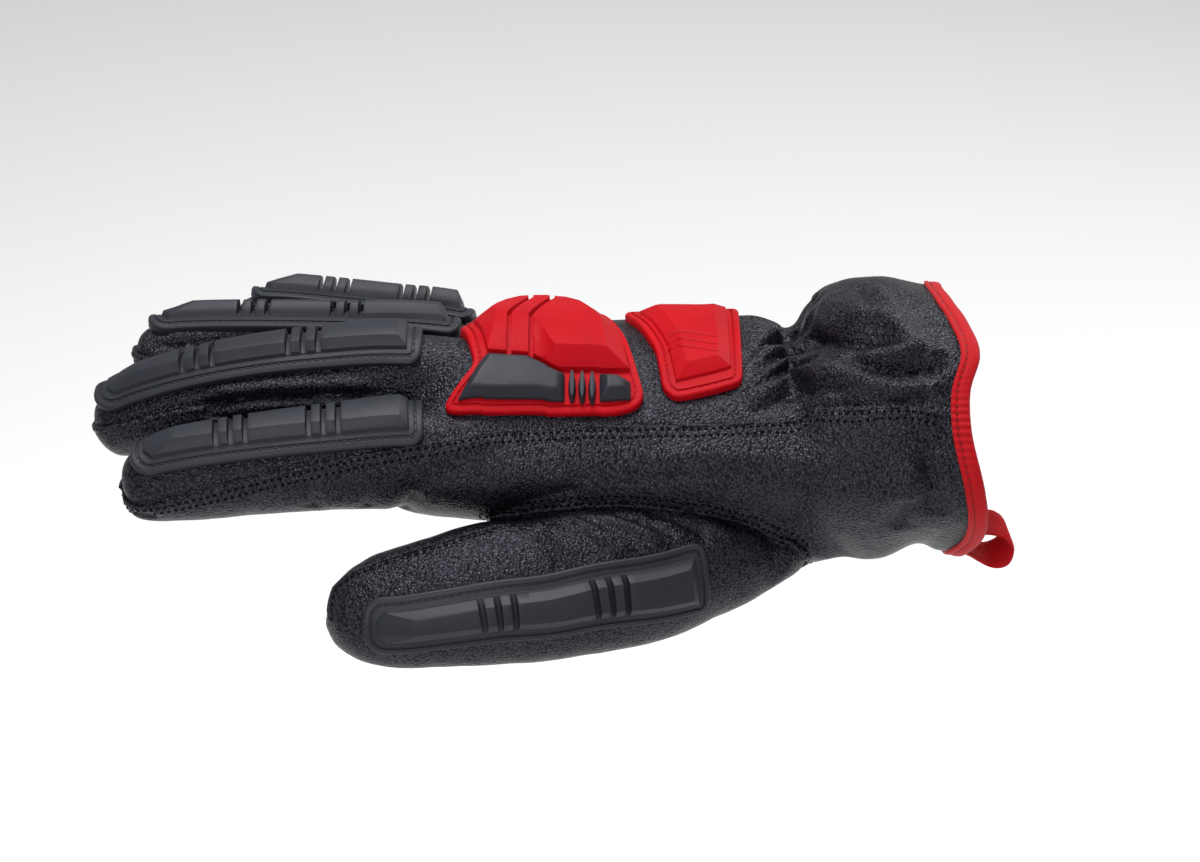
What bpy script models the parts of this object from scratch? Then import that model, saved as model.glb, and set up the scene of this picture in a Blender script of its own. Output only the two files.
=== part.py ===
"""Impact-guarded leather work glove, right hand, shown filled and palm down.

Units are metres, +Z is up. The fingers point along -X, the thumb side is -Y and the back of
the hand faces +Z. The origin is the centre of the cuff opening.
"""

import math
from bisect import bisect_right
from collections import namedtuple

import bmesh
import bpy
from mathutils import Vector

MM = 0.001

# Driving dimensions of the leather hand
HAND_LENGTH = 172 * MM
HAND_WIDTH = 100 * MM
HAND_DEPTH = 50 * MM
FINGER_LENGTH = 119 * MM
FINGER_WIDTH = 26 * MM
THUMB_LENGTH = 137 * MM
THUMB_WIDTH = 44 * MM
THUMB_DEPTH = 34 * MM
LEATHER = 1.4 * MM

# Clearances between pieces
PIECE_GAP = 0.3 * MM
SEAT_GAP = 0.6 * MM

# Rubber guards
FLANGE_THICKNESS = 1.8 * MM
FLANGE_MARGIN = 3.6 * MM
FINGER_GUARD_WIDTH = 19.5 * MM
THUMB_GUARD_WIDTH = 20.5 * MM
FINGER_GUARD_HEIGHT = 6.6 * MM
FINGER_BEVEL = 2.8 * MM
CROSS_GROOVE_WIDTH = 1.5 * MM
CROSS_GROOVE_PITCH = 4.2 * MM
KNUCKLE_GUARD_LENGTH = 58 * MM
KNUCKLE_GUARD_SPAN = 76 * MM
KNUCKLE_GUARD_HEIGHT = 7.4 * MM
PLATE_BEVEL = 4.2 * MM
BODY_GROOVE_WIDTH = 1.4 * MM
BODY_GROOVE_DEPTH = 1.6 * MM
INSERT_HEIGHT = 4.6 * MM
INSERT_BEVEL = 2.2 * MM
BACK_PLATE_LENGTH = 34.5 * MM
BACK_PLATE_SPAN = 57 * MM
BACK_PLATE_HEIGHT = 4.8 * MM

# Cuff trim
BINDING_WIDTH = 4.4 * MM
BINDING_INNER_WIDTH = 3.8 * MM
BINDING_THICKNESS = 1.0 * MM
LOOP_LENGTH = 13 * MM
LOOP_WIDTH = 10 * MM
LOOP_HEIGHT = 9 * MM
LOOP_THICKNESS = 1.4 * MM
LOOP_TAIL = 4.5 * MM
LOOP_PLACE = 0.825
LOOP_CROWN = 0.35 * MM
LOOP_SLANT = (0.27, -0.83, -0.49)

# Mesh fineness
HAND_SIDES = 26
FINGER_SIDES = 14
THUMB_SIDES = 18
GUARD_STEP_ALONG = 15 * MM
GUARD_STEP_ACROSS = 5 * MM
SEAM_BLOCK_ROWS = 14
PLATE_STEP_ACROSS = 7 * MM

# Each row is one section of the hand, from the cuff to the finger roots. along is a share of
# HAND_LENGTH, half_width and side are shares of HAND_WIDTH, and the nine heights round the
# section are shares of HAND_DEPTH. The leans shift the back and the thumb side along the hand.
HandRow = namedtuple(
    "HandRow",
    "along half_width side little back_little back_ring back_middle back_index thumb "
    "palm_index palm_middle palm_little lean_back lean_thumb",
)
HAND_ROWS = [
    HandRow(0.000, 0.460, 0.000, 0.00, 0.51, 0.70, 0.72, 0.53, 0.00, -0.60, -0.76, -0.60, 0.080, -0.036),
    HandRow(0.044, 0.462, 0.000, 0.00, 0.53, 0.72, 0.74, 0.55, 0.00, -0.58, -0.74, -0.58, 0.070, -0.030),
    HandRow(0.100, 0.465, 0.000, 0.00, 0.56, 0.75, 0.77, 0.56, 0.00, -0.61, -0.77, -0.61, 0.040, -0.016),
    HandRow(0.150, 0.465, 0.000, 0.00, 0.56, 0.75, 0.76, 0.55, 0.00, -0.63, -0.78, -0.61, 0.010, 0.000),
    HandRow(0.200, 0.460, 0.000, 0.00, 0.54, 0.72, 0.73, 0.52, 0.00, -0.62, -0.76, -0.59, 0.000, 0.000),
    HandRow(0.245, 0.450, 0.000, -0.02, 0.46, 0.63, 0.64, 0.45, -0.02, -0.62, -0.72, -0.55, 0.000, 0.000),
    HandRow(0.290, 0.430, 0.000, -0.02, 0.24, 0.36, 0.40, 0.32, 0.00, -0.62, -0.68, -0.50, 0.000, 0.000),
    HandRow(0.340, 0.425, 0.000, 0.00, 0.33, 0.46, 0.47, 0.34, 0.00, -0.62, -0.64, -0.47, 0.000, 0.000),
    HandRow(0.450, 0.430, 0.000, 0.02, 0.32, 0.47, 0.48, 0.34, 0.00, -0.56, -0.56, -0.42, 0.000, 0.000),
    HandRow(0.560, 0.445, 0.000, 0.02, 0.31, 0.47, 0.50, 0.34, 0.00, -0.48, -0.48, -0.36, 0.000, 0.000),
    HandRow(0.660, 0.460, -0.005, 0.02, 0.30, 0.47, 0.53, 0.36, 0.02, -0.42, -0.40, -0.30, 0.000, 0.000),
    HandRow(0.770, 0.468, -0.010, 0.03, 0.31, 0.48, 0.58, 0.40, 0.04, -0.37, -0.32, -0.24, 0.000, 0.000),
    HandRow(0.860, 0.468, -0.014, 0.04, 0.25, 0.43, 0.59, 0.40, 0.05, -0.34, -0.25, -0.19, 0.000, 0.000),
    HandRow(0.920, 0.462, -0.016, 0.04, 0.13, 0.32, 0.48, 0.315, 0.04, -0.31, -0.16, -0.14, 0.000, 0.000),
    HandRow(0.965, 0.440, -0.018, 0.04, 0.11, 0.24, 0.37, 0.20, 0.03, -0.27, -0.06, -0.09, 0.000, 0.000),
    HandRow(1.000, 0.395, -0.020, 0.04, 0.06, 0.16, 0.26, 0.12, 0.02, -0.18, 0.03, -0.03, 0.000, 0.000),
]
# Where the nine heights stand across the section, as shares of its half width
SECTION_STATIONS = [
    ("thumb", -1.00),
    ("back_index", -0.70),
    ("back_middle", -0.22),
    ("back_ring", 0.28),
    ("back_little", 0.70),
    ("little", 1.00),
    ("palm_little", 0.62),
    ("palm_middle", 0.00),
    ("palm_index", -0.62),
]

# Each row is one finger. start is a share of HAND_LENGTH, side of HAND_WIDTH, height of
# HAND_DEPTH, length of FINGER_LENGTH and width of FINGER_WIDTH; angles are degrees. Roll turns
# the back of the finger toward the thumb. guard_rear and guard_front are shares of the finger's
# own length; groove_rear and groove_front place the two groups of cross grooves on the guard.
FingerRow = namedtuple(
    "FingerRow",
    "name start side height length width spread droop_root droop_tip roll "
    "guard_rear guard_front groove_rear groove_front",
)
FINGER_ROWS = [
    FingerRow("index", 0.814, -0.336, 0.13, 0.890, 1.02, -2.7, 2.0, 9.0, 7, 0.165, 0.955, 0.335, 0.65),
    FingerRow("middle", 0.820, -0.110, 0.35, 0.970, 1.00, 0.0, -1.0, 22.0, 1, 0.155, 0.965, 0.352, 0.67),
    FingerRow("ring", 0.806, 0.110, 0.19, 0.910, 0.96, 3.0, -1.0, 0.0, -25, 0.10, 0.965, 0.36, 0.66),
    FingerRow("little", 0.798, 0.305, 0.04, 0.700, 0.88, 9.0, -4.0, -4.0, -35, 0.12, 0.955, 0.27, 0.63),
]
BEND_POWER = 1.5

# Sections along every finger: share of its length, then half width and half depth as shares of
# half the finger's own width
FingerSection = namedtuple("FingerSection", "along half_width half_depth")
FINGER_SECTIONS = [
    FingerSection(0.000, 0.86, 0.92),
    FingerSection(0.120, 0.97, 1.06),
    FingerSection(0.250, 1.00, 1.10),
    FingerSection(0.400, 1.00, 1.04),
    FingerSection(0.550, 0.99, 1.00),
    FingerSection(0.700, 0.96, 0.96),
    FingerSection(0.820, 0.92, 0.91),
    FingerSection(0.900, 0.87, 0.85),
    FingerSection(0.950, 0.78, 0.76),
    FingerSection(0.980, 0.62, 0.61),
    FingerSection(0.995, 0.38, 0.38),
]

# Sections of the thumb from its base inside the hand to its tip. along is a share of
# THUMB_LENGTH past the base, side of HAND_WIDTH, height of HAND_DEPTH, half_width of
# THUMB_WIDTH and half_depth of THUMB_DEPTH.
ThumbRow = namedtuple("ThumbRow", "along side height half_width half_depth")
THUMB_ROWS = [
    ThumbRow(0.000, -0.325, -0.580, 0.060, 0.080),
    ThumbRow(0.040, -0.332, -0.575, 0.160, 0.190),
    ThumbRow(0.100, -0.350, -0.565, 0.290, 0.320),
    ThumbRow(0.200, -0.385, -0.540, 0.400, 0.430),
    ThumbRow(0.320, -0.440, -0.535, 0.485, 0.490),
    ThumbRow(0.440, -0.490, -0.525, 0.505, 0.510),
    ThumbRow(0.540, -0.530, -0.540, 0.490, 0.500),
    ThumbRow(0.640, -0.560, -0.540, 0.475, 0.470),
    ThumbRow(0.760, -0.590, -0.570, 0.435, 0.430),
    ThumbRow(0.860, -0.605, -0.600, 0.390, 0.390),
    ThumbRow(0.930, -0.605, -0.605, 0.325, 0.340),
    ThumbRow(0.975, -0.602, -0.590, 0.225, 0.250),
    ThumbRow(0.995, -0.600, -0.580, 0.130, 0.140),
]
THUMB_BASE = 0.285
THUMB_ROLL = 60
THUMB_GUARD_TURN = 14
THUMB_GUARD_REAR = 0.232
THUMB_GUARD_FRONT = 0.915
THUMB_GROOVE_REAR = 0.31
THUMB_GROOVE_FRONT = 0.625

# The side seam between the back and palm panels: height on the thumb side, share of HAND_DEPTH
SeamRow = namedtuple("SeamRow", "along height")
SEAM_ROWS = [
    SeamRow(0.00, 0.41),
    SeamRow(0.27, 0.31),
    SeamRow(0.45, 0.30),
    SeamRow(0.80, 0.33),
    SeamRow(0.94, 0.30),
    SeamRow(1.15, 0.17),
    SeamRow(1.40, -0.06),
]
SEAM_SHOULDER = 3 * MM
# Where the seam surface has its mesh lines across the hand, as shares of HAND_WIDTH
SEAM_COLUMNS = (-1.0, -0.365, -0.336, -0.22, -0.11, 0.0, 0.11, 0.22, 0.32, 0.42, 1.0)

# Outlines of the plates on the back of the hand. along is a share of the plate's length from its
# rear, across a share of half its span, positive toward the thumb.
PlatePoint = namedtuple("PlatePoint", "along across")
KNUCKLE_GUARD_REAR = 0.547
KNUCKLE_OUTLINE = [
    PlatePoint(0.00, 0.70),
    PlatePoint(0.03, 0.80),
    PlatePoint(0.12, 0.86),
    PlatePoint(0.50, 0.94),
    PlatePoint(0.88, 1.00),
    PlatePoint(0.97, 0.97),
    PlatePoint(1.00, 0.90),
    PlatePoint(0.97, 0.82),
    PlatePoint(0.85, 0.58),
    PlatePoint(0.94, -0.05),
    PlatePoint(0.93, -0.22),
    PlatePoint(0.87, -0.50),
    PlatePoint(0.76, -0.74),
    PlatePoint(0.50, -0.82),
    PlatePoint(0.30, -0.74),
    PlatePoint(0.20, -0.53),
    PlatePoint(0.095, 0.03),
    PlatePoint(0.03, 0.50),
]
KNUCKLE_BODY = [
    PlatePoint(0.12, 0.50),
    PlatePoint(0.43, 0.54),
    PlatePoint(0.58, 0.43),
    PlatePoint(0.79, 0.44),
    PlatePoint(0.855, -0.05),
    PlatePoint(0.83, -0.22),
    PlatePoint(0.77, -0.45),
    PlatePoint(0.68, -0.60),
    PlatePoint(0.48, -0.66),
    PlatePoint(0.36, -0.60),
    PlatePoint(0.29, -0.42),
    PlatePoint(0.17, 0.05),
]
INSERT_FRONT = [
    PlatePoint(0.40, 0.60),
    PlatePoint(0.40, 0.83),
    PlatePoint(0.93, 0.90),
    PlatePoint(0.79, 0.50),
    PlatePoint(0.585, 0.49),
]
INSERT_REAR = [
    PlatePoint(0.07, 0.62),
    PlatePoint(0.07, 0.76),
    PlatePoint(0.225, 0.79),
    PlatePoint(0.225, 0.56),
    PlatePoint(0.13, 0.56),
]
INSERT_FIN_COUNT = 3
INSERT_FIN_REAR = 0.262
INSERT_FIN_PITCH = 0.05
INSERT_FIN_WIDTH = 0.028
INSERT_FIN_LOW = 0.585
INSERT_FIN_HIGH = 0.82
# The two grooves across the body run straight, then bend toward the cuff over the crest
BODY_GROOVES = (0.57, 0.68)
GROOVE_BEND_ACROSS = 0.13
GROOVE_BEND_BACK = 0.10

BACK_PLATE_REAR = 0.380
BACK_OUTLINE = [
    PlatePoint(0.00, 0.68),
    PlatePoint(0.03, 0.77),
    PlatePoint(0.52, 0.95),
    PlatePoint(0.60, 0.94),
    PlatePoint(0.68, 0.84),
    PlatePoint(0.73, 0.30),
    PlatePoint(0.87, -0.27),
    PlatePoint(1.00, -0.68),
    PlatePoint(0.96, -0.86),
    PlatePoint(0.75, -0.95),
    PlatePoint(0.10, -0.92),
    PlatePoint(0.00, -0.80),
]
BACK_BODY = [
    PlatePoint(0.09, 0.58),
    PlatePoint(0.575, 0.78),
    PlatePoint(0.635, 0.25),
    PlatePoint(0.77, -0.32),
    PlatePoint(0.87, -0.66),
    PlatePoint(0.72, -0.80),
    PlatePoint(0.10, -0.78),
]

# Colours from the photograph, linear RGB
BLACK_LEATHER = (0.018, 0.018, 0.022)
GREY_RUBBER = (0.040, 0.041, 0.046)
RED_RUBBER = (0.640, 0.015, 0.030)
RED_FABRIC = (0.700, 0.012, 0.028)


def material(name, colour, roughness):
    """A plain Principled material."""
    made = bpy.data.materials.new(name)
    made.use_nodes = True
    shader = made.node_tree.nodes["Principled BSDF"]
    shader.inputs["Base Color"].default_value = (*colour, 1.0)
    shader.inputs["Roughness"].default_value = roughness
    shader.inputs["Metallic"].default_value = 0.0
    return made


def slopes(xs, ys):
    """Tangents of a smooth curve through the points, by weighted finite differences."""
    steps = [(ys[i + 1] - ys[i]) / (xs[i + 1] - xs[i]) for i in range(len(xs) - 1)]
    inner = [
        (steps[i - 1] * (xs[i + 1] - xs[i]) + steps[i] * (xs[i] - xs[i - 1])) / (xs[i + 1] - xs[i - 1])
        for i in range(1, len(xs) - 1)
    ]
    return [steps[0], *inner, steps[-1]]


def smooth_value(xs, ys, x):
    """Cubic interpolation of a table column, held constant past its ends."""
    if x <= xs[0]:
        return ys[0]
    if x >= xs[-1]:
        return ys[-1]
    tangents = slopes(xs, ys)
    i = bisect_right(xs, x) - 1
    span = xs[i + 1] - xs[i]
    t = (x - xs[i]) / span
    rest = 1 - t
    return (
        ys[i] * (1 + 2 * t) * rest * rest
        + tangents[i] * span * t * rest * rest
        + ys[i + 1] * t * t * (3 - 2 * t)
        - tangents[i + 1] * span * t * t * rest
    )


def table_row(rows, x):
    """Every column of a table at the place x along its first column."""
    xs = [row[0] for row in rows]
    return type(rows[0])(*(smooth_value(xs, column, x) for column in zip(*rows)))


def catmull(a, b, c, d, t):
    """A point on the Catmull-Rom curve from b to c."""
    return 0.5 * (2 * b + (c - a) * t + (2 * a - 5 * b + 4 * c - d) * t * t + (3 * b - a - 3 * c + d) * t**3)


def hand_section(along, count):
    """Points round the hand at a distance along it, with their outward normals."""
    row = table_row(HAND_ROWS, max(along, 0) / HAND_LENGTH)
    half = row.half_width * HAND_WIDTH
    knots = [
        Vector((0, row.side * HAND_WIDTH + share * half, getattr(row, name) * HAND_DEPTH))
        for name, share in SECTION_STATIONS
    ]
    points = []
    for k in range(count):
        place = k * len(knots) / count
        i = int(place)
        near = [knots[(i + j) % len(knots)] for j in (-1, 0, 1, 2)]
        points.append(catmull(*near, place - i))
    top = max(point.z for point in points)
    normals = []
    for k, point in enumerate(points):
        chord = points[(k + 1) % count] - points[k - 1]
        normals.append(Vector((0, -chord.z, chord.y)).normalized())
        back = max(point.z, 0) / top * (0.5 + 0.5 * point.y / half) * row.lean_back
        thumb = max(-point.y, 0) / half * row.lean_thumb
        point.x = -along - (back + thumb) * HAND_WIDTH
    return points, normals


def hand_ring(along, offset):
    """The ring of mesh points round the hand, moved outward by an offset."""
    points, normals = hand_section(along, HAND_SIDES)
    return [point + normal * offset for point, normal in zip(points, normals)]


def back_point(along, across):
    """The back of the hand at an arc length from its crest toward the thumb, and its normal."""
    points, _ = hand_section(along, HAND_SIDES * 4)
    crest = min(range(len(points)), key=lambda k: abs(points[k].y) if points[k].z > 0 else 1.0)
    step = -1 if across > 0 else 1
    left = abs(across)
    k = crest
    while True:
        following = points[(k + step) % len(points)]
        length = (following - points[k]).length
        if length >= left:
            break
        left -= length
        k = (k + step) % len(points)
    place = points[k].lerp(following, left / length)
    chord = (following - points[k]) * step
    return place, Vector((0, -chord.z, chord.y)).normalized()


def finger_pose(finger, along):
    """Centre, forward, thumbward and backward directions at a distance along a finger."""
    length = finger.length * FINGER_LENGTH
    share = along / length
    spread = math.radians(finger.spread)
    turn = finger.droop_tip - finger.droop_root
    mean = math.radians(finger.droop_root + turn * max(share, 0) ** BEND_POWER / (BEND_POWER + 1))
    droop = math.radians(finger.droop_root + turn * max(share, 0) ** BEND_POWER)
    centre = Vector((
        -finger.start * HAND_LENGTH - along * math.cos(spread) * math.cos(mean),
        finger.side * HAND_WIDTH + along * math.sin(spread),
        finger.height * HAND_DEPTH - along * math.sin(mean),
    ))
    forward = Vector((
        -math.cos(spread) * math.cos(droop),
        math.sin(spread) * math.cos(droop),
        -math.sin(droop),
    ))
    thumbward = Vector((0, 0, 1)).cross(forward).normalized()
    backward = forward.cross(thumbward)
    return centre, forward, thumbward, backward


def finger_radii(finger, along):
    """Half width and half depth of a finger's outside."""
    row = table_row(FINGER_SECTIONS, along / (finger.length * FINGER_LENGTH))
    half = finger.width * FINGER_WIDTH / 2
    return row.half_width * half, row.half_depth * half


def finger_ring(finger, along, offset):
    """The ring of mesh points round a finger, moved outward by an offset."""
    centre, _, thumbward, backward = finger_pose(finger, along)
    half_width, half_depth = finger_radii(finger, along)
    ring = []
    for k in range(FINGER_SIDES):
        angle = 2 * math.pi * (k + 0.5) / FINGER_SIDES
        side = thumbward * math.sin(angle) * (half_width + offset)
        ring.append(centre + side + backward * math.cos(angle) * (half_depth + offset))
    return ring


def thumb_pose(along):
    """Centre, forward, palmward-across and backward directions and half sizes of the thumb."""
    row = table_row(THUMB_ROWS, along / THUMB_LENGTH)
    ahead = table_row(THUMB_ROWS, min(along / THUMB_LENGTH + 0.02, 1))
    behind = table_row(THUMB_ROWS, max(along / THUMB_LENGTH - 0.02, 0))
    centres = [
        Vector((
            -THUMB_BASE * HAND_LENGTH - at.along * THUMB_LENGTH,
            at.side * HAND_WIDTH,
            at.height * HAND_DEPTH,
        ))
        for at in (behind, row, ahead)
    ]
    centres[1].x = -THUMB_BASE * HAND_LENGTH - along
    forward = (centres[2] - centres[0]).normalized()
    roll = math.radians(THUMB_ROLL)
    facing = Vector((0, -math.sin(roll), math.cos(roll)))
    across = facing.cross(forward).normalized()
    backward = forward.cross(across)
    return centres[1], forward, across, backward, row.half_width * THUMB_WIDTH, row.half_depth * THUMB_DEPTH


def thumb_ring(along, offset):
    """The ring of mesh points round the thumb, moved outward by an offset."""
    centre, _, across, backward, half_width, half_depth = thumb_pose(along)
    ring = []
    for k in range(THUMB_SIDES):
        angle = 2 * math.pi * (k + 0.5) / THUMB_SIDES
        side = across * math.sin(angle) * (half_width + offset)
        ring.append(centre + side + backward * math.cos(angle) * (half_depth + offset))
    return ring


def make_object(name, vertices, faces):
    """A mesh object whose faces point outward."""
    mesh = bpy.data.meshes.new(name)
    mesh.from_pydata([tuple(vertex) for vertex in vertices], [], faces)
    shape = bmesh.new()
    shape.from_mesh(mesh)
    bmesh.ops.recalc_face_normals(shape, faces=shape.faces)
    shape.to_mesh(mesh)
    shape.free()
    made = bpy.data.objects.new(name, mesh)
    bpy.context.scene.collection.objects.link(made)
    return made


def loft(name, rings):
    """A closed tube through rings of equal length, with flat ends."""
    count = len(rings[0])
    vertices = [point for ring in rings for point in ring]
    faces = [tuple(range(count)), tuple(range((len(rings) - 1) * count, len(rings) * count))]
    for r in range(len(rings) - 1):
        for k in range(count):
            here = r * count + k
            beside = r * count + (k + 1) % count
            faces.append((here, beside, beside + count, here + count))
    return make_object(name, vertices, faces)


def closed_sweep(name, profiles):
    """A ring whose profiles follow each other round a closed path."""
    count = len(profiles[0])
    vertices = [point for profile in profiles for point in profile]
    total = len(vertices)
    faces = []
    for r in range(len(profiles)):
        for k in range(count):
            here = r * count + k
            beside = r * count + (k + 1) % count
            faces.append((here, beside, (beside + count) % total, (here + count) % total))
    return make_object(name, vertices, faces)


def bake(target):
    """Replace an object's mesh by what its modifiers make of it."""
    graph = bpy.context.evaluated_depsgraph_get()
    mesh = bpy.data.meshes.new_from_object(target.evaluated_get(graph))
    target.modifiers.clear()
    target.data = mesh


def combine(target, tool, operation, solver="EXACT"):
    """Join, cut or intersect two solids, and use up the second."""
    boolean = target.modifiers.new(operation, "BOOLEAN")
    boolean.operation = operation
    boolean.solver = solver
    boolean.object = tool
    bake(target)
    bpy.data.objects.remove(tool, do_unlink=True)
    return target


def duplicate(source, name):
    """A copy of an object with a mesh of its own."""
    made = bpy.data.objects.new(name, source.data.copy())
    bpy.context.scene.collection.objects.link(made)
    return made


def finish(target, look):
    """Give a piece its material and smooth its round faces."""
    target.data.materials.clear()
    target.data.materials.append(look)
    target.data.shade_smooth()
    target.data.set_sharp_from_angle(angle=math.radians(40))


def hand_tube(name, offset, cuff_reach):
    """The hand from past the cuff to its end at the finger roots."""
    stations = [row.along * HAND_LENGTH for row in HAND_ROWS]
    rings = [hand_ring(along, offset) for along in stations]
    if cuff_reach:
        beyond = [point + Vector((cuff_reach, 0, 0)) for point in rings[0]]
        rings.insert(0, beyond)
    else:
        rings.insert(0, hand_ring(0, offset - 2 * LEATHER))
    end_shift = Vector((-offset, 0, 0))
    rings[-1] = [point + end_shift for point in rings[-1]]
    return loft(name, rings)


def finger_tube(finger, offset):
    """One finger from inside the hand to its closed tip."""
    length = finger.length * FINGER_LENGTH
    rings = [finger_ring(finger, row.along * length, offset) for row in FINGER_SECTIONS[:-1]]
    tip_row = FINGER_SECTIONS[-1]
    tip = finger_ring(finger, tip_row.along * length, min(offset, 0) * 0.6)
    forward = finger_pose(finger, tip_row.along * length)[1]
    rings.append([point + forward * offset for point in tip])
    return loft(finger.name, rings)


def thumb_tube(name, offset):
    """The thumb from its closed base inside the hand to its closed tip."""
    rings = [thumb_ring(row.along * THUMB_LENGTH, offset) for row in THUMB_ROWS[1:-1]]
    for row, index, sign in ((THUMB_ROWS[0], 0, -1), (THUMB_ROWS[-1], len(rings) + 1, 1)):
        ring = thumb_ring(row.along * THUMB_LENGTH, min(offset, 0) * 0.6)
        forward = thumb_pose(row.along * THUMB_LENGTH)[1]
        rings.insert(index, [point + forward * offset * sign for point in ring])
    return loft(name, rings)


def glove_solid(name, offset, cuff_reach):
    """Hand and four fingers joined in one solid."""
    joined = hand_tube(name, offset, cuff_reach)
    for finger in FINGER_ROWS:
        combine(joined, finger_tube(finger, offset), "UNION", "MANIFOLD")
    return joined


def seam_height(x, y):
    """Height of the surface that parts the back panel from the palm panel."""
    along = -x
    stations = []
    for finger in FINGER_ROWS:
        reach = min(max(along - finger.start * HAND_LENGTH, 0), finger.length * FINGER_LENGTH)
        centre = finger_pose(finger, reach)[0]
        stations.append((centre.y, centre.z))
    near = smooth_value([row.along for row in SEAM_ROWS], [row.height for row in SEAM_ROWS], along / HAND_LENGTH)
    stations.insert(0, (stations[0][0] - SEAM_SHOULDER, near * HAND_DEPTH))
    if y <= stations[0][0]:
        return stations[0][1]
    for (y0, z0), (y1, z1) in zip(stations, stations[1:]):
        if y <= y1:
            return z0 + (z1 - z0) * (y - y0) / (y1 - y0)
    return stations[-1][1]


def seam_block(name, shift, upward):
    """The space above or below the seam surface, moved by a shift."""
    reach = 1.1 * (HAND_LENGTH + FINGER_LENGTH)
    rows = SEAM_BLOCK_ROWS
    xs = [HAND_DEPTH - k * (reach + HAND_DEPTH) / rows for k in range(rows + 1)]
    ys = [share * HAND_WIDTH for share in SEAM_COLUMNS]
    far = 2 * HAND_WIDTH if upward else -2 * HAND_WIDTH
    sheet = [Vector((x, y, seam_height(x, y) + shift)) for x in xs for y in ys]
    lid = [Vector((x, y, far)) for x in xs for y in ys]
    wide = len(ys)
    total = len(sheet)
    faces = []
    for level in (0, total):
        for i in range(len(xs) - 1):
            for j in range(wide - 1):
                a = level + i * wide + j
                faces.append((a, a + 1, a + wide + 1))
                faces.append((a, a + wide + 1, a + wide))
    rim = list(range(wide))
    rim += [i * wide + wide - 1 for i in range(1, len(xs))]
    rim += [(len(xs) - 1) * wide + j for j in range(wide - 2, -1, -1)]
    rim += [i * wide for i in range(len(xs) - 2, 0, -1)]
    for a, b in zip(rim, rim[1:] + rim[:1]):
        faces.append((a, b, b + total, a + total))
    return make_object(name, sheet + lid, faces)


def leather_panels(look):
    """The hollow hand with its fingers, parted into a back panel and a palm panel."""
    shell = glove_solid("shell", 0, 0)
    combine(shell, glove_solid("hollow", -LEATHER, HAND_DEPTH), "DIFFERENCE", "MANIFOLD")
    combine(shell, thumb_tube("thumb_way", -LEATHER), "DIFFERENCE", "MANIFOLD")
    back = duplicate(shell, "back_leather")
    combine(back, seam_block("above", PIECE_GAP / 2, True), "INTERSECT", "MANIFOLD")
    shell.name = "palm_leather"
    combine(shell, seam_block("below", -PIECE_GAP / 2, False), "INTERSECT", "MANIFOLD")
    finish(back, look)
    finish(shell, look)


def thumb_leather(look):
    """The set-in thumb: a hollow tube that ends on the outside of the hand."""
    thumb = thumb_tube("thumb_leather", 0)
    combine(thumb, thumb_tube("thumb_hollow", -LEATHER), "DIFFERENCE", "MANIFOLD")
    combine(thumb, hand_tube("hand_clearance", PIECE_GAP, 0), "DIFFERENCE", "MANIFOLD")
    finish(thumb, look)


def rounded_outline(length, half_width, tip_half_width, radius):
    """A tapered strip with round corners, from x = 0 to x = length, run anticlockwise."""
    corners = [
        (radius, -half_width + radius, 180),
        (length - radius, -tip_half_width + radius, 270),
        (length - radius, tip_half_width - radius, 0),
        (radius, half_width - radius, 90),
    ]
    outline = []
    for x, y, start in corners:
        for turn in (0, 45, 90):
            angle = math.radians(start + turn)
            outline.append(Vector((x + radius * math.cos(angle), y + radius * math.sin(angle), 0)))
    return outline


def inset(outline, distance):
    """A closed outline moved inward by a distance."""
    moved = []
    for k, point in enumerate(outline):
        before = (point - outline[k - 1]).normalized()
        after = (outline[(k + 1) % len(outline)] - point).normalized()
        normal_before = Vector((-before.y, before.x, 0))
        normal_after = Vector((-after.y, after.x, 0))
        middle = (normal_before + normal_after).normalized()
        moved.append(point + middle * distance / max(middle.dot(normal_before), 0.5))
    return moved


def lifted(outline, height):
    """An outline at a height."""
    return [Vector((point.x, point.y, height)) for point in outline]


def bent(target, wrap, step_along, step_across):
    """Cut a flat moulding at regular steps, then lay it on a curved surface."""
    shape = bmesh.new()
    shape.from_mesh(target.data)
    for axis, step in ((0, step_along), (1, step_across)):
        lowest = min(vertex.co[axis] for vertex in shape.verts)
        highest = max(vertex.co[axis] for vertex in shape.verts)
        for k in range(math.ceil(lowest / step), math.floor(highest / step) + 1):
            normal = Vector((0, 0, 0))
            normal[axis] = 1
            geometry = shape.verts[:] + shape.edges[:] + shape.faces[:]
            bmesh.ops.bisect_plane(
                shape, geom=geometry, dist=0.02 * MM, plane_co=normal * k * step, plane_no=normal
            )
    for vertex in shape.verts:
        vertex.co = wrap(vertex.co)
    shape.normal_update()
    bmesh.ops.recalc_face_normals(shape, faces=shape.faces)
    shape.to_mesh(target.data)
    shape.free()


def channels(name, paths, width, floor, top):
    """Cutters for grooves that follow paths across a guard, a little wider at the top."""
    flare = 0.25 * width
    joined = bmesh.new()
    for path in paths:
        corners = []
        for x, y in path:
            corners.append([
                joined.verts.new((x - width / 2, y, floor)),
                joined.verts.new((x + width / 2, y, floor)),
                joined.verts.new((x + width / 2 + flare, y, top)),
                joined.verts.new((x - width / 2 - flare, y, top)),
            ])
        joined.faces.new(corners[0])
        joined.faces.new(corners[-1])
        for one, other in zip(corners, corners[1:]):
            for k in range(4):
                following = (k + 1) % 4
                joined.faces.new((one[k], one[following], other[following], other[k]))
    bmesh.ops.recalc_face_normals(joined, faces=joined.faces)
    mesh = bpy.data.meshes.new(name)
    joined.to_mesh(mesh)
    joined.free()
    made = bpy.data.objects.new(name, mesh)
    bpy.context.scene.collection.objects.link(made)
    return made


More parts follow.
